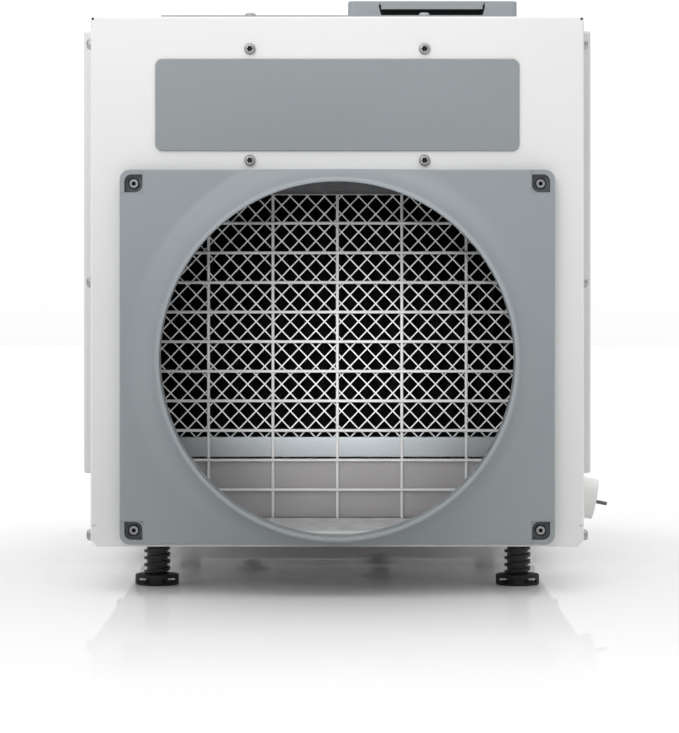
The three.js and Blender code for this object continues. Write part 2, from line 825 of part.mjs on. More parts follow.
// Backward-leaning blades between a disc and a coned ring, in front of which the bell mouth ends.
function blowerWheel() {
  const { radius, front, back, blades, hub, throat } = FAN;
  const centre = [0, FAN.z];
  const sheet = 2;
  const sides = 28;
  const eye = throat + 5;
  const cone = [
    [eye, front],
    [eye + sheet, front],
    [radius, front + 12],
    [radius, front + 12 + sheet],
    [eye, front + 3],
  ];
  let wheel = union(
    rod("y", radius, back, back + sheet, centre, sides),
    rod("y", hub, back - 12, back + 6, centre, 14),
  );
  const innerEnd = 62;
  const span = radius - 1 - innerEnd;
  const lean = 0.75; // radians that a blade turns back from its inner to its outer end
  for (let blade = 0; blade < blades; blade++) {
    const start = (blade / blades) * Math.PI * 2;
    const edge = [];
    const behind = [];
    for (let share = 0; share <= 1; share += 0.5) {
      const reach = innerEnd + span * share;
      const angle = start - share * lean;
      const x = reach * Math.cos(angle);
      const z = reach * Math.sin(angle) + FAN.z;
      edge.push([x, z]);
      behind.unshift([x - sheet * Math.sin(angle), z + sheet * Math.cos(angle)]);
    }
    wheel = wheel.add(toSolid(plate(outline([...edge, ...behind]), front + 6, back + 1)));
  }
  // Trims the blades to the cone's slope.
  const frontOfCone = ring(
    "y",
    [
      [eye + 0.1, front - 9],
      [eye + 0.1, front + 1.2],
      [radius + 9, front + 15],
      [radius + 9, front - 9],
    ],
    centre,
    sides,
  );
  wheel = cut(wheel, frontOfCone).add(toSolid(ring("y", cone, centre, sides)));
  wheel = cut(wheel, rod("y", MOTOR.shaft + GAP, back - 20, back + 20, centre, 12));
  return piece("blower_wheel", wheel, BLACK_PLASTIC);
}

// The motor, the shaft that turns in it, and the bracket that it is fixed to.
function motorPieces() {
  const centre = [0, FAN.z];
  const { radius, front, back, shaft } = MOTOR;
  const profile = [
    [0, front],
    [20, front],
    [24, front + 5],
    [radius - 4, front + 5],
    [radius, front + 9],
    [radius, back - 4],
    [radius - 4, back],
    [0, back],
  ];
  const bore = 40;
  const body = cut(
    toSolid(turned("y", profile, centre, 20)),
    rod("y", shaft + GAP, front - 1, front + bore, centre, 12),
  );
  const spindle = rod("y", shaft, FAN.back - 11, front + bore - 2, centre, 12);
  const y = back + GAP;
  const low = SHEET + GAP;
  const half = 58;
  const thick = 3;
  const sideTop = FAN.z + 30;
  const bracket = union(
    block(-half, half, y, y + thick, low, FAN.z + half),
    block(-half, half, y, y + 34, low, low + thick),
    block(-half, -half + thick, y, y + 20, low, sideTop),
    block(half - thick, half, y, y + 20, low, sideTop),
  );
  return [
    piece("motor_body", body, ALUMINIUM),
    piece("motor_shaft", spindle, STEEL),
    piece("motor_mount", bracket, GALVANISED),
  ];
}

// ---- Outlet end ----

function outletCollar() {
  const start = LENGTH + GAP;
  const end = LENGTH + OUTLET.reach;
  const profile = [
    [OUTLET.bore, start],
    [OUTLET.flange, start],
    [OUTLET.flange, start + 3],
    [OUTLET.radius, start + 3],
    [OUTLET.radius, end],
    [OUTLET.bore, end],
  ];
  return piece("outlet_collar", ring("y", profile, [0, OUTLET.z], 36), GREY_PLASTIC);
}

function cordGland() {
  const centre = [-128, 318];
  const bore = 4.5;
  const cap = [
    [0, LENGTH + 4],
    [9.5, LENGTH + 4],
    [9.5, LENGTH + 14],
    [7, LENGTH + 20],
    [0, LENGTH + 20],
  ];
  const gland = union(rod("y", 11, LENGTH + GAP, LENGTH + 5, centre, 6), turned("y", cap, centre, 18));
  const hole = rod("y", bore, LENGTH - 5, LENGTH + 25, centre, 14);
  return piece("cord_gland", cut(gland, hole), BLACK_PLASTIC);
}

// ---- Electrical compartment: its floor also carries the filter's upper guide ----

function electricalParts() {
  const half = WIDTH / 2 - 2 * SHEET - GAP - 1;
  const railBack = FILTER.front + FILTER.thick;
  const railTop = FILTER.high + 2 * GAP + SHEET;
  const railLip = FILTER.high - 11;
  const start = 8;
  const end = LENGTH - start;
  const top = SHELF_Z + SHEET;
  const lip = SHELF_Z + 14;
  const shelf = outline([
    [start, SHELF_Z],
    [RAIL_FRONT, SHELF_Z],
    [RAIL_FRONT, railLip],
    [RAIL_FRONT + SHEET, railLip],
    [RAIL_FRONT + SHEET, railTop - SHEET],
    [railBack, railTop - SHEET],
    [railBack, railTop],
    [RAIL_FRONT + SHEET, railTop],
    [RAIL_FRONT + SHEET, SHELF_Z],
    [end, SHELF_Z],
    [end, lip],
    [end - SHEET, lip],
    [end - SHEET, top],
    [start + SHEET, top],
    [start + SHEET, lip],
    [start, lip],
  ]);
  const floor = SHELF_Z + SHEET + GAP;
  const board = { half: 76, front: 62, rear: 168, low: floor + 8, high: floor + 9.6 };
  const standoffs = [];
  for (const x of [-board.half + 6, board.half - 6]) {
    for (const y of [board.front + 8, board.rear - 8]) {
      standoffs.push(rod("z", 3, floor, board.low + 1, [x, y], 8));
    }
  }
  const boardSheet = block(-board.half, board.half, board.front, board.rear, board.low, board.high);
  const capacitor = union(
    rod("x", 22, -130, -40, [300, floor + 24], 22),
    rod("x", 15, -42, -34, [300, floor + 24], 12),
    block(-122, -50, 288, 312, floor, floor + 6),
  );
  return [
    piece("electrical_shelf", crossbar(shelf, half), GALVANISED),
    piece("power_board", union(boardSheet, ...standoffs), BOARD),
    piece("run_capacitor", capacitor, ALUMINIUM),
  ];
}

// ---- Control unit on top: its own frame starts on the cabinet's top sheet ----

// The hollow under the lid, the finger slot in front of it, and the hinge's pin holes.
function controlHousing() {
  const { x, width, front, rear, high } = CONTROL;
  const left = x - width / 2;
  const right = x + width / 2;
  const edge = 1.5; // step round the top
  const opening = LID.width / 2 + 0.6;
  const pinHole = 1.7;
  const slot = { floor: 3.1, rear: front + 14 };
  const wireBay = { front: 94, wall: 2.5, high: 5 };
  const body = roundedRectangle(left, right, front, rear, 4);
  const top = roundedRectangle(left + edge, right - edge, front + edge, rear - edge, 3);
  const outside = union(slab(body, 0, high - edge, 3), slab(top, high - edge - 0.5, high, 3));
  return cut(
    outside,
    block(x - opening, x + opening, front - 1, LID.rear + 1.4, DECK, high + 1),
    block(x - opening, x + opening, front - 1, slot.rear, slot.floor, high + 1),
    rod("x", pinHole, x - opening - 3, x + opening + 3, [LID.axisY, LID.axisZ], 12),
    block(
      left + wireBay.wall,
      right - wireBay.wall,
      wireBay.front,
      rear - wireBay.wall,
      -1,
      wireBay.high,
    ),
    rod("z", WIRE_HOLE.radius, -1, DECK - edge, [x, WIRE_HOLE.y], 12),
  );
}

function controlLid() {
  const { x, front, high } = CONTROL;
  const half = LID.width / 2;
  const skirt = 2.2;
  const lidFront = front + 2 * GAP;
  const pin = { radius: 1.1, reach: half + 2.4 };
  const lid = union(
    block(x - half, x + half, lidFront, LID.rear, high - LID.thick, high),
    block(x - half, x + half, lidFront, lidFront + skirt, LID.skirtLow, high),
    rod("x", pin.radius, x - pin.reach, x + pin.reach, [LID.axisY, LID.axisZ], 12),
  );
  return piece("control_lid", lid, GREY_PLASTIC);
}

function controlGroup() {
  const group = new THREE.Group();
  group.position.z = HEIGHT + GAP;
  const { width, depth, corner, y, proud, sunk, gap } = BUTTON;
  let housing = controlHousing();
  BUTTON_NAMES.forEach((name, number) => {
    const x = CONTROL.x + (number - (BUTTON_NAMES.length - 1) / 2) * BUTTON.pitch;
    const halfWidth = width / 2;
    const halfDepth = depth / 2;
    const well = block(
      x - halfWidth - gap,
      x + halfWidth + gap,
      y - halfDepth - gap,
      y + halfDepth + gap,
      DECK - sunk - 2,
      DECK + 1,
    );
    housing = cut(housing, well);
    const cap = roundedRectangle(x - halfWidth, x + halfWidth, y - halfDepth, y + halfDepth, corner);
    group.add(piece(name, slab(cap, DECK - sunk, DECK + proud, 3), BLACK_PLASTIC));
  });
  group.add(piece("control_housing", housing, GREY_PLASTIC));
  group.add(controlLid());
  const x = CONTROL.x;
  const { half, front, rear } = DISPLAY;
  const window = roundedRectangle(x - half, x + half, front, rear, DISPLAY.corner);
  group.add(piece("display_window", slab(window, DECK + GAP, DECK + SHEET, 3), DARK_GLASS));
  return group;
}

// ---- Levelling feet ----

function footPlaces() {
  const { x, inset } = FOOT;
  return [
    [-x, inset],
    [x, inset],
    [x, LENGTH - inset],
    [-x, LENGTH - inset],
  ];
}

// A pad that swivels under a threaded stem, in a frame that starts on the floor.
function footGroup(number, [x, y]) {
  const group = new THREE.Group();
  group.position.set(x, y, -FOOT.height);
  const { pad, padHigh, journal, stem, height, rise } = FOOT;
  const chamfer = 2;
  const profile = [
    [0, 0],
    [pad - chamfer, 0],
    [pad, chamfer],
    [pad, padHigh],
    [0, padHigh],
  ];
  const socketFloor = 3.5;
  const socket = rod("z", journal + 0.5, socketFloor, padHigh + 1, [0, 0], 12);
  const slot = { x: 9.2, half: 3.4, low: 4.6, high: 6.6 };
  const slots = [-slot.x, slot.x].map((middle) =>
    block(middle - slot.half, middle + slot.half, -pad - 1, pad + 1, slot.low, slot.high),
  );
  const foot = cut(toSolid(turned("z", profile, [0, 0], 18)), socket, ...slots);
  const screw = union(
    rod("z", journal, socketFloor + GAP, padHigh + 2, [0, 0], 12),
    rod("z", stem, padHigh + GAP, height + rise, [0, 0], 16),
  );
  group.add(piece("foot_pad_" + number, foot, RUBBER));
  group.add(piece("foot_stem_" + number, screw, BLACK_PLASTIC));
  return group;
}

// ---- Assembly ----

dehumidifier.add(basePan());
dehumidifier.add(cabinetWrap());
dehumidifier.add(endPanel("front_panel", { z: COLLAR.z, radius: COLLAR.bore + 1 }));
dehumidifier.add(rearPanel());
dehumidifier.add(accessPanel("access_panel_left", -1));
dehumidifier.add(accessPanel("access_panel_right", 1));
dehumidifier.add(inletShroud());
pocketPlaces().forEach((place, index) => {
  dehumidifier.add(shroudScrew("shroud_screw_" + (index + 1), place));
});
dehumidifier.add(nameplate());
dehumidifier.add(inletLiner());
dehumidifier.add(inletGuard());
dehumidifier.add(lowerBlankPanel());
dehumidifier.add(filterRail());
dehumidifier.add(filterFrame());
dehumidifier.add(filterMedia());
dehumidifier.add(filterScreen());
dehumidifier.add(coil("evaporator_coil", COIL.evaporator));
dehumidifier.add(coil("condenser_coil", COIL.condenser));
dehumidifier.add(drainPan());
dehumidifier.add(drainGroup());
dehumidifier.add(compressorShell());
boltPlaces().forEach((place, index) => {
  dehumidifier.add(mountGroup(index + 1, place));
});
dehumidifier.add(...pipes());
dehumidifier.add(blowerBulkhead());
dehumidifier.add(blowerWheel());
dehumidifier.add(...motorPieces());
dehumidifier.add(outletCollar());
dehumidifier.add(cordGland());
dehumidifier.add(...electricalParts());
dehumidifier.add(controlGroup());
footPlaces().forEach((place, index) => {
  dehumidifier.add(footGroup(index + 1, place));
});

export default dehumidifier;
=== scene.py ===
"""Looks of the ducted dehumidifier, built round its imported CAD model.

Mesh code works in millimetres in the cabinet's own frame: X to the right, Y back from the front
face, Z up from the cabinet's underside. make() turns a mesh into metres in the row frame.
"""

import math

import bmesh
import bpy
from mathutils import Matrix, Vector


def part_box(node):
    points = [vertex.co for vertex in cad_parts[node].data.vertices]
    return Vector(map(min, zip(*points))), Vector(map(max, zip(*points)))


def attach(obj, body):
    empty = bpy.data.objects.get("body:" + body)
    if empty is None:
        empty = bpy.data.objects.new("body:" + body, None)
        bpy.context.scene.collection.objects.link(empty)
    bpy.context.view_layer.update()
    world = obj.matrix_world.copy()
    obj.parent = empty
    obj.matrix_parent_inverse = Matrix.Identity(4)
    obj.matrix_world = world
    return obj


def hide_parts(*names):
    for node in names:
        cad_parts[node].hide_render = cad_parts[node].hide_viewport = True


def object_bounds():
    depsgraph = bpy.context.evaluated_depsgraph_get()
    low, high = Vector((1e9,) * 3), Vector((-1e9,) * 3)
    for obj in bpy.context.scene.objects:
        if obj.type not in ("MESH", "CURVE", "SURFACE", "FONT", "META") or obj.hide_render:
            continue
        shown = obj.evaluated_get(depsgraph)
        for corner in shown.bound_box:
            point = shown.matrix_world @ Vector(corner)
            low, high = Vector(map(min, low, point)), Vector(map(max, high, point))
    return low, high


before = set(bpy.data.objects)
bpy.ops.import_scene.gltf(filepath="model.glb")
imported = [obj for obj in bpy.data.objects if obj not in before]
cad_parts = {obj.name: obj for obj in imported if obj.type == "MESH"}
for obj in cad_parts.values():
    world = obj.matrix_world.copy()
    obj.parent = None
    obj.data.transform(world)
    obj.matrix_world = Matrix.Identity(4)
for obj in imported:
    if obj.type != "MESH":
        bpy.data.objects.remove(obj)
cad_low, cad_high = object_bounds()

MM = 0.001
panel_low, panel_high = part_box("front_panel")
CABINET = Vector(((panel_low.x + panel_high.x) / 2, panel_low.y, panel_low.z))
TO_ROW = Matrix.Translation(CABINET) @ Matrix.Scale(MM, 4)


def cad(node):
    """Lowest and highest corner of a CAD node, in millimetres in the cabinet's frame."""
    low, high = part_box(node)
    return (low - CABINET) / MM, (high - CABINET) / MM


def middle_of(node):
    """Middle of a CAD node's box, in millimetres in the cabinet's frame."""
    low, high = cad(node)
    return (low + high) / 2


# ---- Driving dimensions, from the frame where it gives them ----
HALF = (panel_high.x - panel_low.x) / 2 / MM
HEIGHT = (panel_high.z - panel_low.z) / MM
LENGTH = cad("rear_panel")[1].y
FLANGE = cad("front_panel")[1].y
SHEET = 1.2
BEND = 1.8
PAN_SIDE = 16.0
COLLAR_Z = 133.8
COLLAR_OUT = 127.0
COLLAR_BORE = 123.6
BORE_BACK = 125.1
RIM_Y = cad("inlet_shroud")[0].y
PLATE_FRONT = -12.3
POCKET_RIM = PLATE_FRONT + 1.3
POCKET_HALF = 6.3
FLARE_OUT = 150.0
OUTLET_Z = 150.0
OUTLET_BORE = 98.6
SPOUT_TILT = math.radians(11)
SPOUT_Y, SPOUT_Z = 120.0, 28.9
FEET = [middle_of(f"foot_stem_{number}").xy for number in (1, 2, 3, 4)]
FLOOR_Z = cad("foot_pad_1")[0].z


# ---- Materials ----


def new_material(name):
    material = bpy.data.materials.new(name)
    material.use_nodes = True
    nodes = material.node_tree.nodes
    nodes.clear()
    output = nodes.new("ShaderNodeOutputMaterial")
    shader = nodes.new("ShaderNodeBsdfPrincipled")
    material.node_tree.links.new(shader.outputs["BSDF"], output.inputs["Surface"])
    return material, shader


def wire(material, source, target):
    material.node_tree.links.new(source, target)


def noise(material, scale, detail=3.0, stretch=(1, 1, 1)):
    """A noise value that varies over the object's own place, scale in cells per metre."""
    nodes = material.node_tree.nodes
    place = nodes.new("ShaderNodeTexCoord")
    mapping = nodes.new("ShaderNodeMapping")
    mapping.inputs["Scale"].default_value = stretch
    texture = nodes.new("ShaderNodeTexNoise")
    texture.inputs["Scale"].default_value = scale
    texture.inputs["Detail"].default_value = detail
    wire(material, place.outputs["Object"], mapping.inputs["Vector"])
    wire(material, mapping.outputs["Vector"], texture.inputs["Vector"])
    return texture.outputs["Fac"]


def ramp(material, value, stops):
    node = material.node_tree.nodes.new("ShaderNodeValToRGB")
    first, last = node.color_ramp.elements
    first.position, first.color = stops[0][0], (*stops[0][1], 1)
    last.position, last.color = stops[-1][0], (*stops[-1][1], 1)
    for position, colour in stops[1:-1]:
        node.color_ramp.elements.new(position).color = (*colour, 1)
    wire(material, value, node.inputs["Fac"])
    return node.outputs["Color"]


def spread(material, value, low, high):
    node = material.node_tree.nodes.new("ShaderNodeMapRange")
    node.inputs["From Min"].default_value = 0.25
    node.inputs["From Max"].default_value = 0.75
    node.inputs["To Min"].default_value = low
    node.inputs["To Max"].default_value = high
    wire(material, value, node.inputs["Value"])
    return node.outputs["Result"]


def bump(material, shader, height, strength, depth):
    node = material.node_tree.nodes.new("ShaderNodeBump")
    node.inputs["Strength"].default_value = strength
    node.inputs["Distance"].default_value = depth
    wire(material, height, node.inputs["Height"])
    wire(material, node.outputs["Normal"], shader.inputs["Normal"])


def shade(colour, share):
    return tuple(min(1.0, channel * share) for channel in colour)


def coated(name, colour, rough, metal=0.0, mottle=0.05, mottle_scale=9.0, grain=900.0, depth=0.00004,
           rough_spread=0.05, stretch=(1, 1, 1)):
    """A finish with slow colour and gloss variation and a fine grain."""
    material, shader = new_material(name)
    slow = noise(material, mottle_scale, 4.0)
    stops = [(0.3, shade(colour, 1 - mottle)), (0.7, shade(colour, 1 + mottle))]
    wire(material, ramp(material, slow, stops), shader.inputs["Base Color"])
    patch = noise(material, mottle_scale * 7, 5.0, stretch)
    gloss = spread(material, patch, rough - rough_spread, rough + rough_spread)
    wire(material, gloss, shader.inputs["Roughness"])
    shader.inputs["Metallic"].default_value = metal
    bump(material, shader, noise(material, grain, 2.0, stretch), 0.6, depth)
    return material


def galvanised(name, colour, rough):
    """Zinc spangle: flat crystals that differ a little in brightness and gloss."""
    material, shader = new_material(name)
    nodes = material.node_tree.nodes
    place = nodes.new("ShaderNodeTexCoord")
    cells = nodes.new("ShaderNodeTexVoronoi")
    cells.inputs["Scale"].default_value = 130.0
    wire(material, place.outputs["Object"], cells.inputs["Vector"])
    stops = [(0.0, shade(colour, 0.86)), (0.5, colour), (1.0, shade(colour, 1.12))]
    wire(material, ramp(material, cells.outputs["Color"], stops), shader.inputs["Base Color"])
    shader.inputs["Metallic"].default_value = 0.35
    patch = noise(material, 60.0, 4.0)
    wire(material, spread(material, patch, rough - 0.07, rough + 0.1), shader.inputs["Roughness"])
    bump(material, shader, cells.outputs["Distance"], 0.15, 0.0002)
    return material


def cloth(name, colour):
    """Matted black filter cloth: short fibres that run every way."""
    material, shader = new_material(name)
    fibres = noise(material, 1400.0, 8.0, (1, 1, 0.35))
    tufts = noise(material, 260.0, 6.0)
    stops = [(0.35, shade(colour, 0.35)), (0.62, colour), (0.8, shade(colour, 4.0))]
    wire(material, ramp(material, fibres, stops), shader.inputs["Base Color"])
    shader.inputs["Roughness"].default_value = 0.95
    shader.inputs["Specular IOR Level"].default_value = 0.15
    mix = material.node_tree.nodes.new("ShaderNodeMath")
    mix.operation = "ADD"
    wire(material, fibres, mix.inputs[0])
    wire(material, tufts, mix.inputs[1])
    bump(material, shader, mix.outputs["Value"], 1.0, 0.0009)
    return material


def circuit_board(name):
    """Green laminate with lighter copper runs."""
    material, shader = new_material(name)
    nodes = material.node_tree.nodes
    place = nodes.new("ShaderNodeTexCoord")
    runs = nodes.new("ShaderNodeTexBrick")
    runs.inputs["Scale"].default_value = 90.0
    runs.inputs["Mortar Size"].default_value = 0.06
    runs.inputs["Color1"].default_value = (0.012, 0.10, 0.035, 1)
    runs.inputs["Color2"].default_value = (0.016, 0.13, 0.045, 1)
    runs.inputs["Mortar"].default_value = (0.05, 0.26, 0.10, 1)
    wire(material, place.outputs["Object"], runs.inputs["Vector"])
    wire(material, runs.outputs["Color"], shader.inputs["Base Color"])
    wire(material, spread(material, noise(material, 200.0), 0.25, 0.4), shader.inputs["Roughness"])
    bump(material, shader, runs.outputs["Fac"], 0.3, 0.0002)
    return material


LOOK = {
    "paint": coated("white_powder_coat", (0.80, 0.80, 0.795), 0.36, mottle=0.012, grain=700.0,
                    depth=0.00002),
    # The access panels' coat is the cabinet's white painted darker: painted shade for the side faces.
    "paint_side": coated("white_panel_coat", (0.72, 0.72, 0.715), 0.38, mottle=0.012, grain=700.0,
                         depth=0.00002),
    "grey": coated("grey_moulded_plastic", (0.30, 0.327, 0.345), 0.42, mottle=0.02, grain=1500.0,
                   depth=0.00003),
    "grey_plate": coated("grey_nameplate", (0.278, 0.302, 0.317), 0.38, mottle=0.015, grain=900.0,
                         depth=0.00002),
    # Dark grey: the drain plug's own colour, and painted shade inside the shroud's corner pockets.
    "grey_dark": coated("grey_pocket_floor", (0.13, 0.145, 0.155), 0.6, mottle=0.04, grain=1500.0,
                        depth=0.00003),
    # A dark grey that paints the shade on the duct's ceiling and on the step behind the panel's hole.
    "foam": coated("grey_foam", (0.10, 0.10, 0.105), 0.9, mottle=0.15, mottle_scale=160.0,
                   grain=1800.0, depth=0.0002),
    "white_plastic": coated("white_moulded_plastic", (0.84, 0.84, 0.83), 0.34, mottle=0.02, grain=1200.0),
    "black": coated("black_moulded_plastic", (0.012, 0.012, 0.013), 0.42, mottle=0.3,
                    mottle_scale=40.0, grain=1600.0),
    "rubber": coated("black_rubber", (0.011, 0.011, 0.012), 0.62, mottle=0.35, mottle_scale=60.0,
                     grain=1100.0, depth=0.00008),
    "zinc": galvanised("galvanised_sheet", (0.86, 0.865, 0.87), 0.5),
    "wire": coated("plated_wire", (0.74, 0.74, 0.74), 0.42, 0.0, mottle=0.06, mottle_scale=60.0,
                   grain=1500.0),
    "mesh": coated("bright_mesh_wire", (0.96, 0.96, 0.95), 0.3, 0.0, mottle=0.05, mottle_scale=80.0,
                   grain=1800.0),
    "rail": coated("bright_rail", (0.27, 0.29, 0.305), 0.33, 0.3, mottle=0.06, mottle_scale=14.0,
                   grain=600.0, stretch=(0.05, 1, 1)),
    "blank": coated("grey_primed_sheet", (0.345, 0.332, 0.332), 0.55, mottle=0.05, mottle_scale=20.0),
    "steel": coated("zinc_plated_steel", (0.40, 0.40, 0.41), 0.36, 0.85, mottle=0.08,
                    mottle_scale=120.0, grain=2500.0, depth=0.00001),
    # Near black for the screws' recesses: painted shade inside the hollow.
    "recess": coated("dark_screw_recess", (0.03, 0.03, 0.032), 0.5, 0.6, mottle=0.2, mottle_scale=200.0),
    "aluminium": coated("aluminium", (0.72, 0.73, 0.74), 0.34, 1.0, mottle=0.05, mottle_scale=30.0,
                        stretch=(1, 1, 0.05)),
    "copper": coated("copper_tube", (0.62, 0.27, 0.14), 0.28, 1.0, mottle=0.14, mottle_scale=35.0),
    "enamel": coated("black_enamel", (0.012, 0.012, 0.013), 0.3, mottle=0.25, mottle_scale=30.0,
                     grain=400.0),
    "card": coated("pressed_card", (0.38, 0.33, 0.26), 0.85, mottle=0.12, mottle_scale=70.0, grain=700.0,
                   depth=0.0002),
    "cloth": cloth("filter_cloth", (0.004, 0.004, 0.0045)),
    "board": circuit_board("circuit_board"),
    "glass": coated("display_glass", (0.006, 0.008, 0.010), 0.09, mottle=0.2, depth=0.000004,
                    rough_spread=0.03),
    "lamp": coated("display_digits", (0.10, 0.42, 0.50), 0.3, mottle=0.05),
}


# ---- Mesh helpers, all in millimetres ----


def loft(bm, rows, caps=True):
    """Skins rows of points, all of one length, into a surface; caps close its two ends."""
    rings = [[bm.verts.new(point) for point in row] for row in rows]
    count = len(rings[0])
    for lower, upper in zip(rings, rings[1:]):
        for i in range(count):
            j = (i + 1) % count
            bm.faces.new((lower[i], lower[j], upper[j], upper[i]))
    if caps:
        bm.faces.new(list(reversed(rings[0])))
        bm.faces.new(rings[-1])
    return rings


def joined_ends(bm, rings):
    """Closes a loft on itself, last row to first."""
    lower, upper = rings[-1], rings[0]
    count = len(lower)
    for i in range(count):
        j = (i + 1) % count
        bm.faces.new((lower[i], lower[j], upper[j], upper[i]))


def circle(radius, sides):
    return [
        (radius * math.cos(2 * math.pi * i / sides), radius * math.sin(2 * math.pi * i / sides))
        for i in range(sides)
    ]


def axes(axis):
    """Turns (along, across, up) of a lathe into x, y, z: the axis is x, y or z."""
    if axis == "x":
        return lambda s, u, v: Vector((s, u, v))
    if axis == "y":
        return lambda s, u, v: Vector((u, s, v))
    return lambda s, u, v: Vector((u, v, s))


def lathe(bm, axis, profile, centre=(0, 0), sides=64, closed=False, place=None):
    """Turns a profile of (radius, along) points. A closed profile makes a ring, an open one is capped."""
    put = axes(axis)
    rows = []
    for radius, along in profile:
        points = [put(along, centre[0] + u, centre[1] + v) for u, v in circle(radius, sides)]
        rows.append([place @ p for p in points] if place else points)
    rings = loft(bm, rows, caps=not closed)
    if closed:
        joined_ends(bm, rings)


def rounded(x0, x1, z0, z1, radius, steps=6, inset=0.0):
    """A rectangle with round corners: one radius, or four anticlockwise from the lower left."""
    radii = radius if isinstance(radius, (list, tuple)) else [radius] * 4
    x0, x1, z0, z1 = x0 + inset, x1 - inset, z0 + inset, z1 - inset
    corners = [(x0, z0, 1, 1), (x1, z0, -1, 1), (x1, z1, -1, -1), (x0, z1, 1, -1)]
    points = []
    for number, (x, z, right, up) in enumerate(corners):
        r = max(radii[number] - inset, 0.05)
        start = math.pi * (1 + number / 2)
        for step in range(steps + 1):
            angle = start + step / steps * math.pi / 2
            points.append((x + right * r + r * math.cos(angle), z + up * r + r * math.sin(angle)))
    return points


def edge(radius, steps=4):
    """Stations (inset, rise) of a rounded edge, from the wall up to the face."""
    return [
        (radius * (1 - math.cos(t * math.pi / 2 / steps)), radius * math.sin(t * math.pi / 2 / steps))
        for t in range(steps + 1)
    ]


def slab(bm, axis, bounds, corner, corner_steps, base, top, radius, steps):
    """A plate with round corners, flat on its base and with a round edge at the top."""
    put = axes(axis)
    away = 1 if top > base else -1
    stations = [(0.0, base)]
    stations += [(inset, top - away * (radius - rise)) for inset, rise in edge(radius, steps)]
    rows = []
    for inset, along in stations:
        rows.append([put(along, u, v) for u, v in rounded(*bounds, corner, corner_steps, inset)])
    loft(bm, rows)


def box(bm, x0, x1, y0, y1, z0, z1):
    low, high = Vector((x0, y0, z0)), Vector((x1, y1, z1))
    size, middle = high - low, (low + high) / 2
    bmesh.ops.create_cube(bm, size=1, matrix=Matrix.Translation(middle) @ Matrix.Diagonal((*size, 1)))


def smooth_path(points, steps):
    """A Catmull-Rom curve through the points."""
    knots = [Vector(p) for p in points]
    knots = [2 * knots[0] - knots[1], *knots, 2 * knots[-1] - knots[-2]]
    path = []
    for a, b, c, d in zip(knots, knots[1:], knots[2:], knots[3:]):
        for step in range(steps):
            t = step / steps
            square = (2 * a - 5 * b + 4 * c - d) * t**2
            cube = (3 * b - a - 3 * c + d) * t**3
            path.append(0.5 * (2 * b + (c - a) * t + square + cube))
    path.append(knots[-2])
    return path


def tube(bm, path, radius, sides=12, taper=True):
    """A round rod along a path, with rounded ends."""
    points = [Vector(p) for p in path]
    last = len(points) - 1
    tangents = [(points[min(i + 1, last)] - points[max(i - 1, 0)]).normalized() for i in range(last + 1)]
    side = tangents[0].orthogonal().normalized()
    rows = []
    for index, (point, tangent) in enumerate(zip(points, tangents)):
        side = (side - tangent * side.dot(tangent)).normalized()
        other = tangent.cross(side)
        ring = [(radius, 0.0)]
        if taper and index == 0:
            ring = [(radius * 0.5, -radius * 0.5), (radius * 0.87, -radius * 0.3), (radius, 0.0)]
        if taper and index == last:
            ring = [(radius, 0.0), (radius * 0.87, radius * 0.3), (radius * 0.5, radius * 0.5)]
        for r, shift in ring:
            rows.append([point + tangent * shift + side * u + other * v for u, v in circle(r, sides)])
    loft(bm, rows)


def solid(maker, *arguments):
    """A mesh of its own made by one of the helpers, for use as a cutter."""
    bm = bmesh.new()
    maker(bm, *arguments)
    return bm


def carve(bm, cutters):
    """Cuts closed meshes out of another, one after another, and returns what is left."""
    things = []
    for source in (bm, *cutters):
        bmesh.ops.recalc_face_normals(source, faces=source.faces)
        mesh = bpy.data.meshes.new("carving")
        source.to_mesh(mesh)
        source.free()
        thing = bpy.data.objects.new("carving", mesh)
        bpy.context.scene.collection.objects.link(thing)
        things.append(thing)
    for cutter in things[1:]:
        modifier = things[0].modifiers.new("cut", "BOOLEAN")
        modifier.object = cutter
        modifier.operation = "DIFFERENCE"
        modifier.solver = "MANIFOLD"
    graph = bpy.context.evaluated_depsgraph_get()
    made = bpy.data.meshes.new_from_object(things[0].evaluated_get(graph))
    result = bmesh.new()
    result.from_mesh(made)
    for thing in things:
        mesh = thing.data
        bpy.data.objects.remove(thing)
        bpy.data.meshes.remove(mesh)
    bpy.data.meshes.remove(made)
    return result


def make(name, bm, body, look, replaces=(), angle=32, bevel=0.0, second=None):
    """Turns a mesh in cabinet millimetres into a piece that rides on a body."""
    bmesh.ops.remove_doubles(bm, verts=bm.verts, dist=0.0005)
    bmesh.ops.recalc_face_normals(bm, faces=bm.faces)
    bmesh.ops.transform(bm, matrix=TO_ROW, verts=bm.verts)
    mesh = bpy.data.meshes.new(name)
    bm.to_mesh(mesh)
    bm.free()
    mesh.polygons.foreach_set("use_smooth", [True] * len(mesh.polygons))
    mesh.set_sharp_from_angle(angle=math.radians(angle))
    mesh.materials.append(LOOK[look])
    if second:
        mesh.materials.append(LOOK[second])
    piece = bpy.data.objects.new(name, mesh)
    bpy.context.scene.collection.objects.link(piece)
    if bevel:
        soften(piece, bevel, angle)
    even_shading(piece)
    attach(piece, body)
    if replaces:
        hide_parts(*replaces)
    return piece


def soften(piece, width, angle=32):
    """Rounds a piece's sharp edges, width in millimetres."""
    modifier = piece.modifiers.new("soften", "BEVEL")
    modifier.width = width * MM
    modifier.segments = 2
    modifier.limit_method = "ANGLE"
    modifier.angle_limit = math.radians(angle)
    modifier.harden_normals = True


def even_shading(piece):
    """Keeps large flat faces flat next to small round ones."""
    modifier = piece.modifiers.new("even", "WEIGHTED_NORMAL")
    modifier.keep_sharp = True
    modifier.weight = 90


def dress(node, look, bevel=0.4):
    """Gives a CAD node its material and softens its edges."""
    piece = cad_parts[node]
    weld = piece.modifiers.new("weld", "WELD")
    weld.merge_threshold = 0.002 * MM
    piece.data.materials.clear()
    piece.data.materials.append(LOOK[look])
    piece.data.polygons.foreach_set("use_smooth", [True] * len(piece.data.polygons))
    piece.data.set_sharp_from_angle(angle=math.radians(32))
    soften(piece, bevel)
    even_shading(piece)


# ---- Cabinet ----


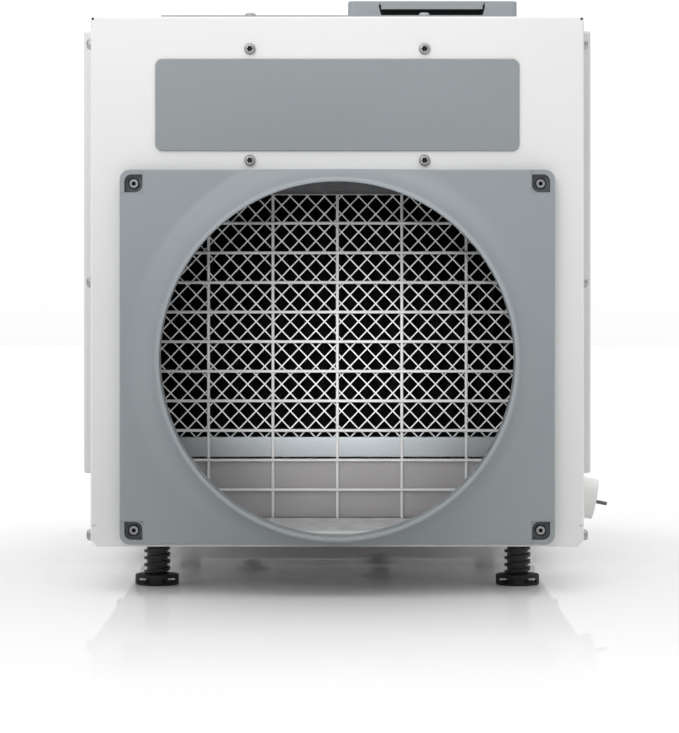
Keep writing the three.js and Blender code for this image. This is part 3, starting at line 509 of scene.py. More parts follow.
def cut_corner_outline(inset, chamfer=4.5, corner=1.6, steps=4):
    """The end panels' outline: lower corners cut off at 45 degrees, upper ones slightly round."""
    reach = HALF - inset
    step = chamfer + inset * (math.sqrt(2) - 1)
    low = inset * 0.3
    r = max(corner - inset, 0.05)
    points = [(-reach, step), (-HALF + step, low), (HALF - step, low), (reach, step)]
    for side in (1, -1):
        for number in range(steps + 1):
            angle = (number if side > 0 else steps + number) / steps * math.pi / 2
            x = side * (reach - r) + r * math.cos(angle)
            points.append((x, HEIGHT - inset - r + r * math.sin(angle)))
    return points


def end_panel_mesh(hole_z, hole_radius):
    """A face whose edges turn back over sides and top, with reliefs at its four corners."""
    bm = bmesh.new()
    inner = [(BEND, SHEET), (SHEET, BEND), (SHEET, FLANGE), (0.0, FLANGE)]
    outer = [(inset, BEND - rise) for inset, rise in edge(BEND, 5)]
    rows = [[(u, y, v) for u, v in cut_corner_outline(inset)] for inset, y in inner + outer]
    loft(bm, rows)
    low_edge = PAN_SIDE + 0.3
    cutters = [
        solid(lathe, "y", [(hole_radius, -5), (hole_radius, 5)], (0, hole_z), 128),
        solid(box, -HALF - 2, HALF + 2, SHEET + 0.01, FLANGE + 2, -2, low_edge),
    ]
    for side in (-1, 1):
        cutters.append(solid(lathe, "y", [(0.95, -3), (0.95, 5)], (side * (HALF - 1.7), HEIGHT - 1.7), 20))
        ends = sorted((side * (HALF - 3.2), side * (HALF + 1)))
        cutters.append(solid(box, *ends, -3, 3, low_edge - 1.7, low_edge - 0.7))
    return carve(bm, cutters)


def end_panels():
    make("front_sheet", end_panel_mesh(COLLAR_Z, BORE_BACK + 1), "cabinet", "paint",
         ["front_panel"])
    rear = end_panel_mesh(OUTLET_Z, OUTLET_BORE)
    turn = Matrix.Translation((0, LENGTH, 0)) @ Matrix.Rotation(math.pi, 4, "Z")
    bmesh.ops.transform(rear, matrix=turn, verts=rear.verts)
    make("rear_sheet", rear, "cabinet", "paint", ["rear_panel"])


def arch_outline(offset, low, bend):
    """Section of the wrap, in X and Z: up the left side, over the top and down the right."""
    def path(inset, radius):
        reach, top = HALF - inset, HEIGHT - inset
        points = [(reach, low)]
        for number in range(7):
            angle = number / 6 * math.pi / 2
            x = reach - radius + radius * math.cos(angle)
            points.append((x, top - radius + radius * math.sin(angle)))
        return points + [(-x, z) for x, z in reversed(points)]

    return path(offset, bend) + list(reversed(path(offset + SHEET, max(bend - SHEET, 0.4))))


def wrap():
    """Sides and top in one bent sheet, open for the filter, the right panel and the spout."""
    low = PAN_SIDE + 0.3
    bm = bmesh.new()
    front, tongue = FLANGE + 0.3, 36
    rows = [[(x, y, z) for x, z in arch_outline(0.0, low, 2.6)] for y in (front, LENGTH - front)]
    loft(bm, rows)
    door_low, door_high = cad("access_panel_right")
    filter_low, filter_high = cad("filter_frame")
    clear, margin = 3, 26
    cutters = [
        solid(box, -HALF - 1, -HALF + 5, filter_low.y - 2.4, filter_high.y + clear, filter_low.z - clear,
              filter_high.z + clear),
        solid(box, HALF - 5, HALF + 1, door_low.y + margin, door_high.y - margin, door_low.z + margin,
              door_high.z - margin),
        solid(lathe, "x", [(10.6, HALF - 5), (10.6, HALF + 1)], (SPOUT_Y, SPOUT_Z), 40),
    ]
    bm = carve(bm, cutters)
    for y0, y1 in ((3, tongue), (LENGTH - tongue, LENGTH - 3)):
        loft(bm, [[(x, y, z) for x, z in arch_outline(1.5, low, 2.6)] for y in (y0, y1)])
    make("wrap_sheet", bm, "cabinet", "paint", ["cabinet_wrap"])


def base_tray():
    """A shallow pan with a slanted lower edge, and a nut over each foot's hole."""
    bm = bmesh.new()
    front, rear, slant = 1.5, LENGTH - 1.5, 5.0
    inner = [(slant + 0.5, SHEET), (SHEET, slant + 0.5), (SHEET, PAN_SIDE), (0.0, PAN_SIDE)]
    outer = [(0.0, slant), (0.15, slant - 0.6), (slant - 0.6, 0.15), (slant, 0.0)]
    rows = []
    for inset, z in inner + outer:
        rows.append([(x, y, z) for x, y in rounded(-HALF, HALF, front, rear, 2.0, 4, inset)])
    loft(bm, rows)
    cutters = [
        solid(box, -HALF + 3, HALF - 3, front - 1, front + 3, 11, PAN_SIDE + 1),
        solid(box, -HALF + 3, HALF - 3, rear - 3, rear + 1, 11, PAN_SIDE + 1),
    ]
    cutters += [solid(lathe, "z", [(9.9, -1), (9.9, 3)], place, 48) for place in FEET]
    bm = carve(bm, cutters)
    for x, y in FEET:
        nut = [(9.9, 1.0), (15, 1.0), (15, 12.6), (14.4, 13), (10.3, 13), (9.9, 12.6)]
        lathe(bm, "z", nut, (x, y), 48, True)
    make("base_tray", bm, "cabinet", "paint", ["base_pan"])


def underside():
    """Washers and nuts below the tray where the compressor's bolts come through."""
    bm = bmesh.new()
    for number in (1, 2, 3):
        spot = middle_of(f"compressor_bolt_{number}").xy
        lathe(bm, "z", [(14.2, -0.05), (15, -0.4), (15, -1.4), (14.2, -1.7), (7.5, -1.75)], spot, 48)
        nut = [(6.9, -1.8), (7.2, -2.2), (7.2, -6.2), (6.6, -6.8), (4.2, -6.8), (4.0, -7.6)]
        lathe(bm, "z", nut, spot, 6)
    make("bolt_washers", bm, "cabinet", "steel")


def access_tray(name, node, body):
    low, high = cad(node)
    side = 1 if low.x > 0 else -1
    inner = low.x if side > 0 else high.x
    outer = high.x if side > 0 else low.x
    bm = bmesh.new()
    stations = [(BEND, outer - side * SHEET), (SHEET, outer - side * BEND), (SHEET, inner),
                (0.0, inner)]
    stations += [(inset, outer - side * (BEND - rise)) for inset, rise in edge(BEND, 5)]
    rows = [
        [(x, y, z) for y, z in rounded(low.y, high.y, low.z, high.z, 2.4, 5, inset)] for inset, x in stations
    ]
    loft(bm, rows)
    columns = (low.y + 16, (low.y + high.y) / 2, high.y - 16)
    spots = [(y, z) for y in columns for z in (low.z + 14, high.z - 14)]
    sink = [(4.5, outer - side * 0.9), (5.1, outer + side * 0.3)]
    bm = carve(bm, [solid(lathe, "x", sink, spot, 32) for spot in spots])
    # The panel takes the darker white, painted shade for a side face.
    make(name, bm, body, "paint_side", [node])
    turn = Matrix.Rotation(math.pi / 2 * side, 4, "Y")
    screws = bmesh.new()
    for y, z in spots:
        screw_head(screws, Matrix.Translation((outer - side * 0.9, y, z)) @ turn, 4.3, 0.75, "torx")
    make_screws(name + "_screws", screws, body)


# ---- Screws ----


def screw_head(bm, place, radius, height, recess="torx", floor_share=0.45, sides=36):
    """A domed head that points along the local Z, with a six-lobed or hexagon recess."""
    def lobed(r):
        points = []
        for i in range(sides):
            angle = 2 * math.pi * i / sides
            if recess == "torx":
                reach = r * (1 + 0.17 * math.cos(6 * angle))
            else:
                sector = (angle + math.pi / 6) % (math.pi / 3) - math.pi / 6
                reach = r * math.cos(math.pi / 6) / math.cos(sector)
            points.append((reach * math.cos(angle), reach * math.sin(angle)))
        return points

    inner = radius * 0.46
    crown = inner * 1.32 if recess == "torx" else radius * 0.86
    floor = height * floor_share
    rows = [[(u, v, 0.0) for u, v in circle(radius * 0.98, sides)]]
    rows.append([(u, v, height * 0.22) for u, v in circle(radius, sides)])
    for share in (0.2, 0.45, 0.7, 0.9, 1.0):
        angle = share * math.pi / 2
        r = radius - (radius - crown) * (1 - math.cos(angle))
        rows.append([(u, v, height * (0.22 + 0.78 * math.sin(angle))) for u, v in circle(r, sides)])
    rows.append([(u, v, height * 0.99) for u, v in lobed(inner * 1.04)])
    rows.append([(u, v, height * 0.93) for u, v in lobed(inner)])
    rows.append([(u, v, floor) for u, v in lobed(inner * 0.92)])
    rows.append([(u, v, floor - 0.15 * height) for u, v in lobed(inner * 0.4)])
    rings = loft(bm, [[place @ Vector(p) for p in row] for row in rows])
    # The recess faces take the second material, painted shade.
    shaded_recess_verts = {vert for ring in rings[-3:] for vert in ring}
    for face in {face for vert in shaded_recess_verts for face in vert.link_faces}:
        if all(vert in shaded_recess_verts for vert in face.verts):
            face.material_index = 1


def make_screws(name, bm, body="cabinet", replaces=()):
    """Plated steel heads; their recesses are painted near black as painted shade."""
    make(name, bm, body, "steel", replaces, second="recess")


FRONT_SCREWS = [(x, z) for x in (-61.9, 61.9) for z in (273.8, 352.8)]
PAN_HEAD = 4.1
PAN_RISE = 3.4


def cabinet_screws():
    facing_front = Matrix.Rotation(math.pi / 2, 4, "X")
    facing_rear = Matrix.Rotation(-math.pi / 2, 4, "X")
    bm = bmesh.new()
    for x, z in FRONT_SCREWS:
        screw_head(bm, Matrix.Translation((x, 0, z)) @ facing_front, PAN_HEAD, PAN_RISE)
    make_screws("front_screws", bm)
    edge_y = FLANGE / 2
    bm = bmesh.new()
    for x in (-61.9, 61.9):
        for y in (edge_y, LENGTH - edge_y):
            screw_head(bm, Matrix.Translation((x, y, HEIGHT)), PAN_HEAD, PAN_RISE)
    make_screws("top_screws", bm)
    for name, side in (("left", -1), ("right", 1)):
        bm = bmesh.new()
        turn = Matrix.Rotation(math.pi / 2 * side, 4, "Y")
        for y in (edge_y, LENGTH - edge_y):
            for z in (7.6, 187.5, 357.2):
                screw_head(bm, Matrix.Translation((side * HALF, y, z)) @ turn, PAN_HEAD, PAN_RISE)
        screw_head(bm, Matrix.Translation((side * HALF, LENGTH / 2, 8.0)) @ turn, PAN_HEAD, PAN_RISE)
        make_screws(name + "_screws", bm)
    bm = bmesh.new()
    for x, z in [(-150, 20), (150, 20), (-150, 340), (150, 340)]:
        screw_head(bm, Matrix.Translation((x, LENGTH, z)) @ facing_rear, PAN_HEAD, PAN_RISE)
    make_screws("rear_screws", bm)


# ---- Inlet end ----


def flare_y(radius):
    """Front surface of the shroud at a distance from the collar's axis: a quarter ellipse to flat."""
    rise_end = RIM_Y + 2.5
    if radius >= FLARE_OUT:
        return PLATE_FRONT
    across = (FLARE_OUT - max(radius, COLLAR_OUT)) / (FLARE_OUT - COLLAR_OUT)
    return PLATE_FRONT - (PLATE_FRONT - rise_end) * (1 - math.sqrt(max(0.0, 1 - across**2)))


def shroud_ring_points():
    """Points round the plate's outline with their outward normals, spread evenly as seen from the axis."""
    low, high = cad("inlet_shroud")
    round_corner = 7.0
    half = high.x
    corners = [
        (half - round_corner, high.z - round_corner, 0),
        (-half + round_corner, high.z - round_corner, 90),
        (-half + round_corner, low.z + round_corner, 180),
        (half - round_corner, low.z + round_corner, 270),
    ]
    points = []
    for number, (x, z, start) in enumerate(corners):
        for step in range(9):
            angle = math.radians(start + step / 8 * 90)
            normal = Vector((math.cos(angle), 0, math.sin(angle)))
            points.append((Vector((x, 0, z)) + normal * round_corner, normal))
        x2, z2, _ = corners[(number + 1) % 4]
        end_normal = Vector((math.cos(math.radians(start + 90)), 0, math.sin(math.radians(start + 90))))
        a = Vector((x, 0, z)) + end_normal * round_corner
        b = Vector((x2, 0, z2)) + end_normal * round_corner
        centre = Vector((0, 0, COLLAR_Z))
        first = math.atan2((a - centre).z, (a - centre).x)
        span = (math.atan2((b - centre).z, (b - centre).x) - first) % (2 * math.pi)
        count = 56
        for step in range(1, count):
            angle = first + span * step / count
            ray = Vector((math.cos(angle), 0, math.sin(angle)))
            reach = (a - centre).dot(end_normal) / ray.dot(end_normal)
            points.append((centre + ray * reach, end_normal))
    return points


def pocket_centres():
    low, high = cad("inlet_shroud")
    offset = 3.4 + POCKET_HALF
    return [
        (x, z, right, up)
        for x, right in ((low.x + offset, -1), (high.x - offset, 1))
        for z, up in ((low.z + offset, -1), (high.z - offset, 1))
    ]


def pocket_outline(x, z, right, up, inset):
    radii = [5.0, 0.8, 5.0, 0.8] if right == up else [0.8, 5.0, 0.8, 5.0]
    return rounded(x - POCKET_HALF, x + POCKET_HALF, z - POCKET_HALF, z + POCKET_HALF, radii, 6, inset)


def shroud_shell():
    """Collar, flare and square plate in one skin, with an opening in each corner for a pocket."""
    points = shroud_ring_points()
    centre = Vector((0, 0, COLLAR_Z))
    bend = 1.1
    back = -0.3
    rows = []

    def polar(profile):
        for radius, y in profile:
            row = []
            for point, _ in points:
                ray = (point - centre).normalized()
                row.append(centre + ray * radius + Vector((0, y, 0)))
            rows.append(row)

    polar([(BORE_BACK + 0.8, back), (BORE_BACK + 0.8, 1.3), (BORE_BACK, 1.3), (COLLAR_BORE, RIM_Y + 0.9),
           (COLLAR_BORE + 0.15, RIM_Y + 0.35), (COLLAR_BORE + 0.6, RIM_Y)])
    polar([(COLLAR_OUT - inset, RIM_Y + 1.6 - rise) for inset, rise in reversed(edge(1.6, 5)[1:])])
    flare_steps, flat_steps = 22, 4
    ends = []
    for point, normal in points:
        ends.append((point - normal * bend - centre).length)
    for step in range(flare_steps + 1):
        share = (step / flare_steps) ** 1.7
        row = []
        for (point, normal), end in zip(points, ends):
            ray = (point - normal * bend - centre).normalized()
            radius = COLLAR_OUT + (min(FLARE_OUT, end - 0.8) - COLLAR_OUT) * share
            row.append(centre + ray * radius + Vector((0, flare_y(radius), 0)))
        rows.append(row)
    for step in range(1, flat_steps + 1):
        row = []
        for (point, normal), end in zip(points, ends):
            ray = (point - normal * bend - centre).normalized()
            start = min(FLARE_OUT, end - 0.8)
            radius = start + (end - start) * step / flat_steps
            row.append(centre + ray * radius + Vector((0, flare_y(radius), 0)))
        rows.append(row)
    for inset, rise in reversed(edge(bend, 4)[:-1]):
        row = []
        for (point, normal), end in zip(points, ends):
            row.append(point - normal * inset + Vector((0, flare_y(end) + bend - rise, 0)))
        rows.append(row)
    rows.append([point + Vector((0, back, 0)) for point, _ in points])
    bm = bmesh.new()
    joined_ends(bm, loft(bm, rows, caps=False))
    cutters, steps = [], []
    for x, z, right, up in pocket_centres():
        outline = pocket_outline(x, z, right, up, -0.8)
        cutters.append(solid(loft, [[(u, y, v) for u, v in outline] for y in (PLATE_FRONT - 2, -2.0)]))
        across = sorted((x - right * 7.1, x + right * 20))
        along = sorted((z - up * 7.1, z + up * 20))
        steps.append(solid(box, *across, PLATE_FRONT - 3, POCKET_RIM, *along))
    bm = carve(carve(bm, steps), cutters)
    make("shroud_shell", bm, "cabinet", "grey", ["inlet_shroud"], angle=40)


def shroud_pockets():
    """Closed cups in the shroud's corners, each with a counterbore and its screw; their inner faces are
    painted darker grey as shade.
    """
    floor, counterbore = -4.5, -2.6
    cups = bmesh.new()
    for x, z, right, up in pocket_centres():
        stations = [(-0.8, counterbore + 0.6), (-0.8, POCKET_RIM), (-0.5, POCKET_RIM + 0.02),
                    (-0.1, POCKET_RIM + 0.2), (0.0, POCKET_RIM + 0.5), (0.12, floor - 0.6),
                    (0.3, floor - 0.15), (0.7, floor)]
        rows = []
        for inset, y in stations:
            rows.append([(u, y, v) for u, v in pocket_outline(x, z, right, up, inset)])
        for radius, y in ((4.5, floor), (4.45, floor + 0.1), (4.4, counterbore), (0.3, counterbore)):
            row = []
            for u, _, v in rows[len(stations) - 1]:
                angle = math.atan2(v - z, u - x)
                row.append((x + radius * math.cos(angle), y, z + radius * math.sin(angle)))
            rows.append(row)
        loft(cups, rows)
    # Faces deeper than the pocket's rim take the darker grey: painted shade in the recess.
    for face in cups.faces:
        if face.calc_center_median().y > POCKET_RIM + 0.5:
            face.material_index = 1
    make("shroud_pockets", cups, "cabinet", "grey", angle=40, second="grey_dark")
    facing_front = Matrix.Rotation(math.pi / 2, 4, "X")
    screws = bmesh.new()
    for x, z, _, _ in pocket_centres():
        seat = Matrix.Translation((x, counterbore - 0.1, z))
        screw_head(screws, seat @ facing_front, 3.4, 3.6, "hex", 0.35)
    nodes = [f"shroud_screw_{number}" for number in (1, 2, 3, 4)]
    make_screws("shroud_screw_heads", screws, replaces=nodes)


def nameplate():
    low, high = cad("nameplate")
    bm = bmesh.new()
    slab(bm, "y", (low.x, high.x, low.z, high.z), 5.0, 8, high.y, low.y, 0.6, 3)
    make("blank_nameplate", bm, "cabinet", "grey_plate", ["nameplate"])


def guard():
    low, high = cad("inlet_guard")
    radius, rows, columns = 1.1, 12, 5
    pitch, column_pitch = 21.96, 47.8
    top = cad("inlet_liner")[1].z - 5
    front = low.y + radius
    bm = bmesh.new()
    for row in range(rows):
        z = top - row * pitch
        tube(bm, [(low.x + 1, front, z), (high.x - 1, front, z)], radius, 14)
    for column in range(columns):
        x = (column - (columns - 1) / 2) * column_pitch
        y = front + 2 * radius - 0.35
        tube(bm, [(x, y, top - (rows - 1) * pitch - 2), (x, y, top + 2)], radius, 14)
    make("guard_wires", bm, "cabinet", "wire", ["inlet_guard"])


def ceiling_foam():
    """A dark strip under the duct's top as painted shade on the ceiling, with a lip of the same painted shade
    that fills the step behind the panel's hole.
    """
    ceiling, rear = cad("inlet_liner")[1].z - 5, 94
    lip_front, lip_back = SHEET + 0.14, SHEET + 0.26
    section = [(lip_front, ceiling - 0.8), (rear, ceiling - 0.8), (rear, ceiling - 0.1),
               (lip_back, ceiling - 0.1), (lip_back, ceiling + 8), (lip_front, ceiling + 8)]
    bm = bmesh.new()
    loft(bm, [[(x, y, z) for y, z in section] for x in (-149.5, 149.5)])
    make("ceiling_foam", bm, "cabinet", "foam")


def duct():
    """The sheet sleeve behind the collar: its floor drops forwards, its lower corners are cut off."""
    low, high = cad("inlet_liner")
    lip = 5
    floor, ceiling, half = low.z + lip, high.z - lip, high.x - lip
    front, rear = SHEET + 0.3, high.y
    drop, slant = 4.4, 52
    bm = bmesh.new()

    def section(y, grow, sink):
        base = floor - sink - grow
        return [(-half + slant, y, base), (half - slant, y, base), (half + grow, y, base + slant + grow),
                (half + grow, y, ceiling + grow), (-half - grow, y, ceiling + grow),
                (-half - grow, y, base + slant + grow)]

    outer = [section(front, 0.8, drop), section(rear - 0.8, 0.8, 0), section(rear - 0.8, lip, 0),
             section(rear, lip, 0)]
    inner = [section(rear, 0, 0), section(front, 0, drop)]
    joined_ends(bm, loft(bm, outer + inner, caps=False))
    make("duct_sleeve", bm, "cabinet", "zinc", ["inlet_liner"])
    # A thin grey sheet across the step at the front of the duct's floor: painted shade, darker than the zinc.
    bm = bmesh.new()
    box(bm, -110, 110, SHEET + 0.14, SHEET + 0.26, floor - drop - 3, floor - drop + 0.1)
    make("duct_sill", bm, "cabinet", "grey")


def diamond_screen():
    """Two crossing families of thin wires in a flat rim, on the front of the filter."""
    low, high = cad("filter_screen")
    wide, tall, radius = 12.7, 13.3, 0.52
    y = low.y + 0.7
    bm = bmesh.new()
    slope = tall / wide
    first = math.floor((low.x - (high.z - low.z) / slope) / wide)
    last = math.ceil((high.x + (high.z - low.z) / slope) / wide)
    for number in range(first, last + 1):
        for lean in (-1, 1):
            x_low = (number + 0.5) * wide + 3.1
            ends = []
            for z in (low.z, high.z):
                x = x_low + lean * (z - low.z) / slope
                ends.append((x, z))
            (x0, z0), (x1, z1) = ends
            t0, t1 = 0.0, 1.0
            run = x1 - x0
            for bound, sign in ((low.x, 1), (high.x, -1)):
                start, end = sign * (x0 - bound), sign * (x1 - bound)
                if start < 0 and end < 0:
                    t1 = t0
                elif start < 0:
                    t0 = max(t0, start / (start - end))
                elif end < 0:
                    t1 = min(t1, start / (start - end))
            if t1 - t0 < 0.02:
                continue
            here = y + lean * radius * 0.55
            ends = [(x0 + run * t, here, z0 + (z1 - z0) * t) for t in (t0, t1)]
            tube(bm, ends, radius, 8, False)
    make("diamond_mesh", bm, "filter_cartridge", "mesh", ["filter_screen"])


def pleated_media():
    low, high = cad("filter_media")
    pleats, samples, thick = 26, 10, 1.4
    near, far = low.y + 0.2, high.y - 0.3
    section, behind = [], []
    total = pleats * samples
    for i in range(total + 1):
        phase = i / samples * 2 * math.pi
        wave = 0.5 - 0.5 * math.cos(phase)
        x = low.x + (high.x - low.x) * i / total
        y = near + (far - near - thick) * wave
        section.append((x, y))
        behind.append((x, y + thick))
    outline = section + list(reversed(behind))
    rows = []
    levels = 40
    for level in range(levels + 1):
        z = low.z + (high.z - low.z) * level / levels
        rows.append([(x, y + 0.25 * math.sin(level * 1.7 + x * 0.31), z) for x, y in outline])
    bm = bmesh.new()
    loft(bm, rows)
    make("pleated_cloth", bm, "filter_cartridge", "cloth", ["filter_media"], angle=60)


# ---- Control unit ----

BUTTONS = ("button_mode", "button_down", "button_up")
LID_PIN_Y = 101.0


def wells(node, clear):
    """Left, right, front and rear edges of an opening that clears a node."""
    low, high = cad(node)
    return low.x - clear, high.x + clear, low.y - clear, high.y + clear


def control_unit():
    low, high = cad("control_housing")
    x = (low.x + high.x) / 2
    base, top = low.z, high.z
    deck = cad("display_window")[0].z - 0.3
    opening = 38.1
    rear_wall = cad("control_lid")[1].y + 1.4
    slot_rear, slot_floor = low.y + 14, base + 3.1
    bm = bmesh.new()
    slab(bm, "z", (low.x, high.x + 0.9, low.y, high.y), 4.0, 8, base, top, 1.2, 5)
    slope = 1.6
    slot = [(-opening, deck + 0.5), (-opening + slope, slot_floor), (opening - slope, slot_floor),
            (opening, deck + 0.5)]
    cutters = [
        solid(box, x - opening, x + opening, low.y - 1, rear_wall, deck, top + 1),
        solid(loft, [[(x + u, y, v) for u, v in slot] for y in (low.y - 1, slot_rear)]),
        solid(lathe, "x", [(1.7, x - opening - 3), (1.7, x + opening + 3)], (LID_PIN_Y, base + 12.3), 24),
    ]
    cutters += [solid(box, *wells(name, 0.4), deck - 4.6, deck + 1) for name in BUTTONS]
    bm = carve(bm, cutters)
    make("control_shell", bm, "cabinet", "grey", ["control_housing"], bevel=0.2)

    bm = bmesh.new()
    skin = 0.12
    inner = opening - skin
    box(bm, x - inner, x + inner, slot_rear + 0.4, rear_wall - skin, deck + skin, deck + 0.35)
    cutters = [solid(box, *wells(name, 0.35), deck - 1, deck + 1) for name in BUTTONS]
    cutters.append(solid(box, *wells("display_window", 0.2), deck - 1, deck + 1))
    deck_skin = carve(bm, cutters)
    # The black lining of the slot under the lid is painted shade for the open gap; the skin on the deck round
    # the buttons is black too.
    slot_shade_lining = [(-opening + 0.1, deck + 0.35), (-opening + slope + 0.1, slot_floor + 0.12),
              (opening - slope - 0.1, slot_floor + 0.12), (opening - 0.1, deck + 0.35)]
    thin = [(-opening + 0.5, deck + 0.35), (-opening + slope + 0.43, slot_floor + 0.5),
            (opening - slope - 0.43, slot_floor + 0.5), (opening - 0.5, deck + 0.35)]
    section = slot_shade_lining + list(reversed(thin))
    loft(deck_skin, [[(x + u, y, v) for u, v in section] for y in (low.y + 0.5, slot_rear - 0.1)])
    box(deck_skin, x - inner + 0.5, x + inner - 0.5, slot_rear - 0.5, slot_rear - 0.1, slot_floor + 0.2,
        deck + 0.35)
    make("control_deck", deck_skin, "cabinet", "black")


def control_lid():
    low, high = cad("control_lid")
    x = (low.x + high.x) / 2
    half, top_half = 36.6, 37.95
    bm = bmesh.new()
    plate_low = high.z - 2.6
    slab(bm, "z", (x - top_half, x + top_half, low.y, high.y), 1.0, 4, plate_low, high.z, 0.7, 4)
    skirt = [(0.0, low.z), (0.35, low.z), (1.9, low.z + 0.3), (2.2, low.z + 1.2), (2.4, plate_low + 0.3),
             (0.0, plate_low + 0.3)]
    rows = []
    for u in (-half, -half + 0.4, half - 0.4, half):
        shrink = 0.25 if abs(u) == half else 0.0
        row = []
        for v, z in skirt:
            lift = shrink if z < low.z + 1 else 0.0
            row.append((x + u, low.y + 0.15 + shrink + v * (1 - 0.1 * shrink), z + lift))
        rows.append(row)
    loft(bm, rows)
    pin_z = high.z - 1.4
    tube(bm, [(low.x + 0.6, LID_PIN_Y, pin_z), (high.x - 0.6, LID_PIN_Y, pin_z)], 1.1, 20)
    for side in (-1, 1):
        box(bm, x + side * 30 - 1, x + side * 30 + 1, low.y + 3, high.y - 2, plate_low - 1.2, plate_low + 0.2)
    make("lid_shell", bm, "control_lid", "grey", ["control_lid"])


def top_strip():
    """A thin grey strip along the front edge of the top, as wide as the nameplate."""
    low, high = cad("nameplate")
    bm = bmesh.new()
    slab(bm, "z", (low.x + 4, high.x - 2, 2.6, 6.4), 1.0, 4, HEIGHT + 0.02, HEIGHT + 1.05, 0.25, 2)
    make("top_strip", bm, "cabinet", "grey_plate")


def buttons_and_display():
    for name in BUTTONS:
        low, high = cad(name)
        bm = bmesh.new()
        slab(bm, "z", (low.x, high.x, low.y, high.y), 1.5, 6, low.z, high.z, 0.6, 4)
        dimple = [(1.9, high.z - 0.1), (1.9, high.z + 0.12), (1.6, high.z + 0.2), (1.2, high.z + 0.12)]
        lathe(bm, "z", dimple, middle_of(name).xy, 32)
        make(name + "_cap", bm, name, "black", [name])
    low, high = cad("display_window")
    bm = bmesh.new()
    slab(bm, "z", (low.x, high.x, low.y, high.y), 2.0, 6, low.z, high.z, 0.3, 3)
    make("display_pane", bm, "cabinet", "glass", ["display_window"])
    bm = bmesh.new()
    size, thick, z = 5.2, 0.9, high.z
    segments = {"a": (0, 2), "b": (1, 1), "c": (1, -1), "d": (0, -2), "e": (-1, -1), "f": (-1, 1),
                "g": (0, 0)}
    for digit, lit in enumerate(("abged", "abcdef")):
        cx = (low.x + high.x) / 2 + (digit - 0.5) * 11
        cy = (low.y + high.y) / 2
        for key in lit:
            column, row = segments[key]
            mx, my = cx + column * size / 2, cy + row * size / 2
            long_half, short_half = size / 2 - 0.6, thick / 2
            half_x, half_y = (long_half, short_half) if row % 2 == 0 else (short_half, long_half)
            box(bm, mx - half_x, mx + half_x, my - half_y, my + half_y, z - 0.02, z + 0.03)
    make("display_digits", bm, "cabinet", "lamp")


# ---- Drain ----


def drain():
    place = Matrix.Translation((HALF, SPOUT_Y, SPOUT_Z)) @ Matrix.Rotation(SPOUT_TILT, 4, "Y")
    reach, seat = 18.0, 8.2
    root = -6.0
    profile = [(6.6, root), (15.3, root), (15.3, 3.4), (15.2, reach - 0.7), (15.05, reach - 0.2),
               (14.7, reach), (10.1, reach), (9.6, reach - 0.15), (9.4, reach - 0.6), (9.4, seat),
               (6.6, seat)]
    body = solid(lathe, "x", profile, (0, 0), 96, True, place)
    bm = carve(body, [solid(box, HALF - 40, HALF + 0.15, 80, 160, -20, 80)])
    lathe(bm, "x", [(8.6, -9), (8.6, 2), (6.6, 2), (6.6, -9)], (0, 0), 48, True, place)
    make("spout_body", bm, "cabinet", "white_plastic", ["drain_spout"])
    bm = bmesh.new()
    top = seat + 0.3 + 8
    plug = [(8.6, seat + 0.3), (9.0, seat + 0.8), (9.0, top - 1.2), (8.7, top - 0.4), (8.0, top),
            (3.4, top), (3.1, top + 0.2), (2.2, top + 0.6), (1.3, top + 0.6)]
    lathe(bm, "x", plug, (0, 0), 64, False, place)
    end = reach + 9.6
    stem = [(1.35, top - 1), (1.35, end - 0.9), (1.2, end - 0.4), (0.8, end - 0.1), (0.2, end)]
    lathe(bm, "x", stem, (0, -1.6), 24, False, place)
    make("plug_body", bm, "drain_plug", "grey_dark", ["drain_plug"])


# ---- Levelling feet ----


def thread_ridge(bm, centre, low, high, pitch, core, crest, start, turn_steps=40):
    """A square thread's ridge as one closed strip wound up the core from a starting angle."""
    count = int((high - low) / pitch * turn_steps)
    section = [(core - 0.5, -1.3), (core, -1.25), (crest - 0.15, -1.15), (crest, -1.0), (crest, 1.0),
               (crest - 0.15, 1.15), (core, 1.25), (core - 0.5, 1.3)]
    rows = []
    for step in range(count + 1):
        angle = start + step / turn_steps * 2 * math.pi
        z = low + (high - low) * step / count
        fade = min(1.0, step / 4, (count - step) / 4)
        row = []
        for radius, shift in section:
            reach = core - 0.5 + (radius - core + 0.5) * (0.15 + 0.85 * fade)
            row.append((centre[0] + reach * math.cos(angle), centre[1] + reach * math.sin(angle), z + shift))
        rows.append(row)
    loft(bm, rows)


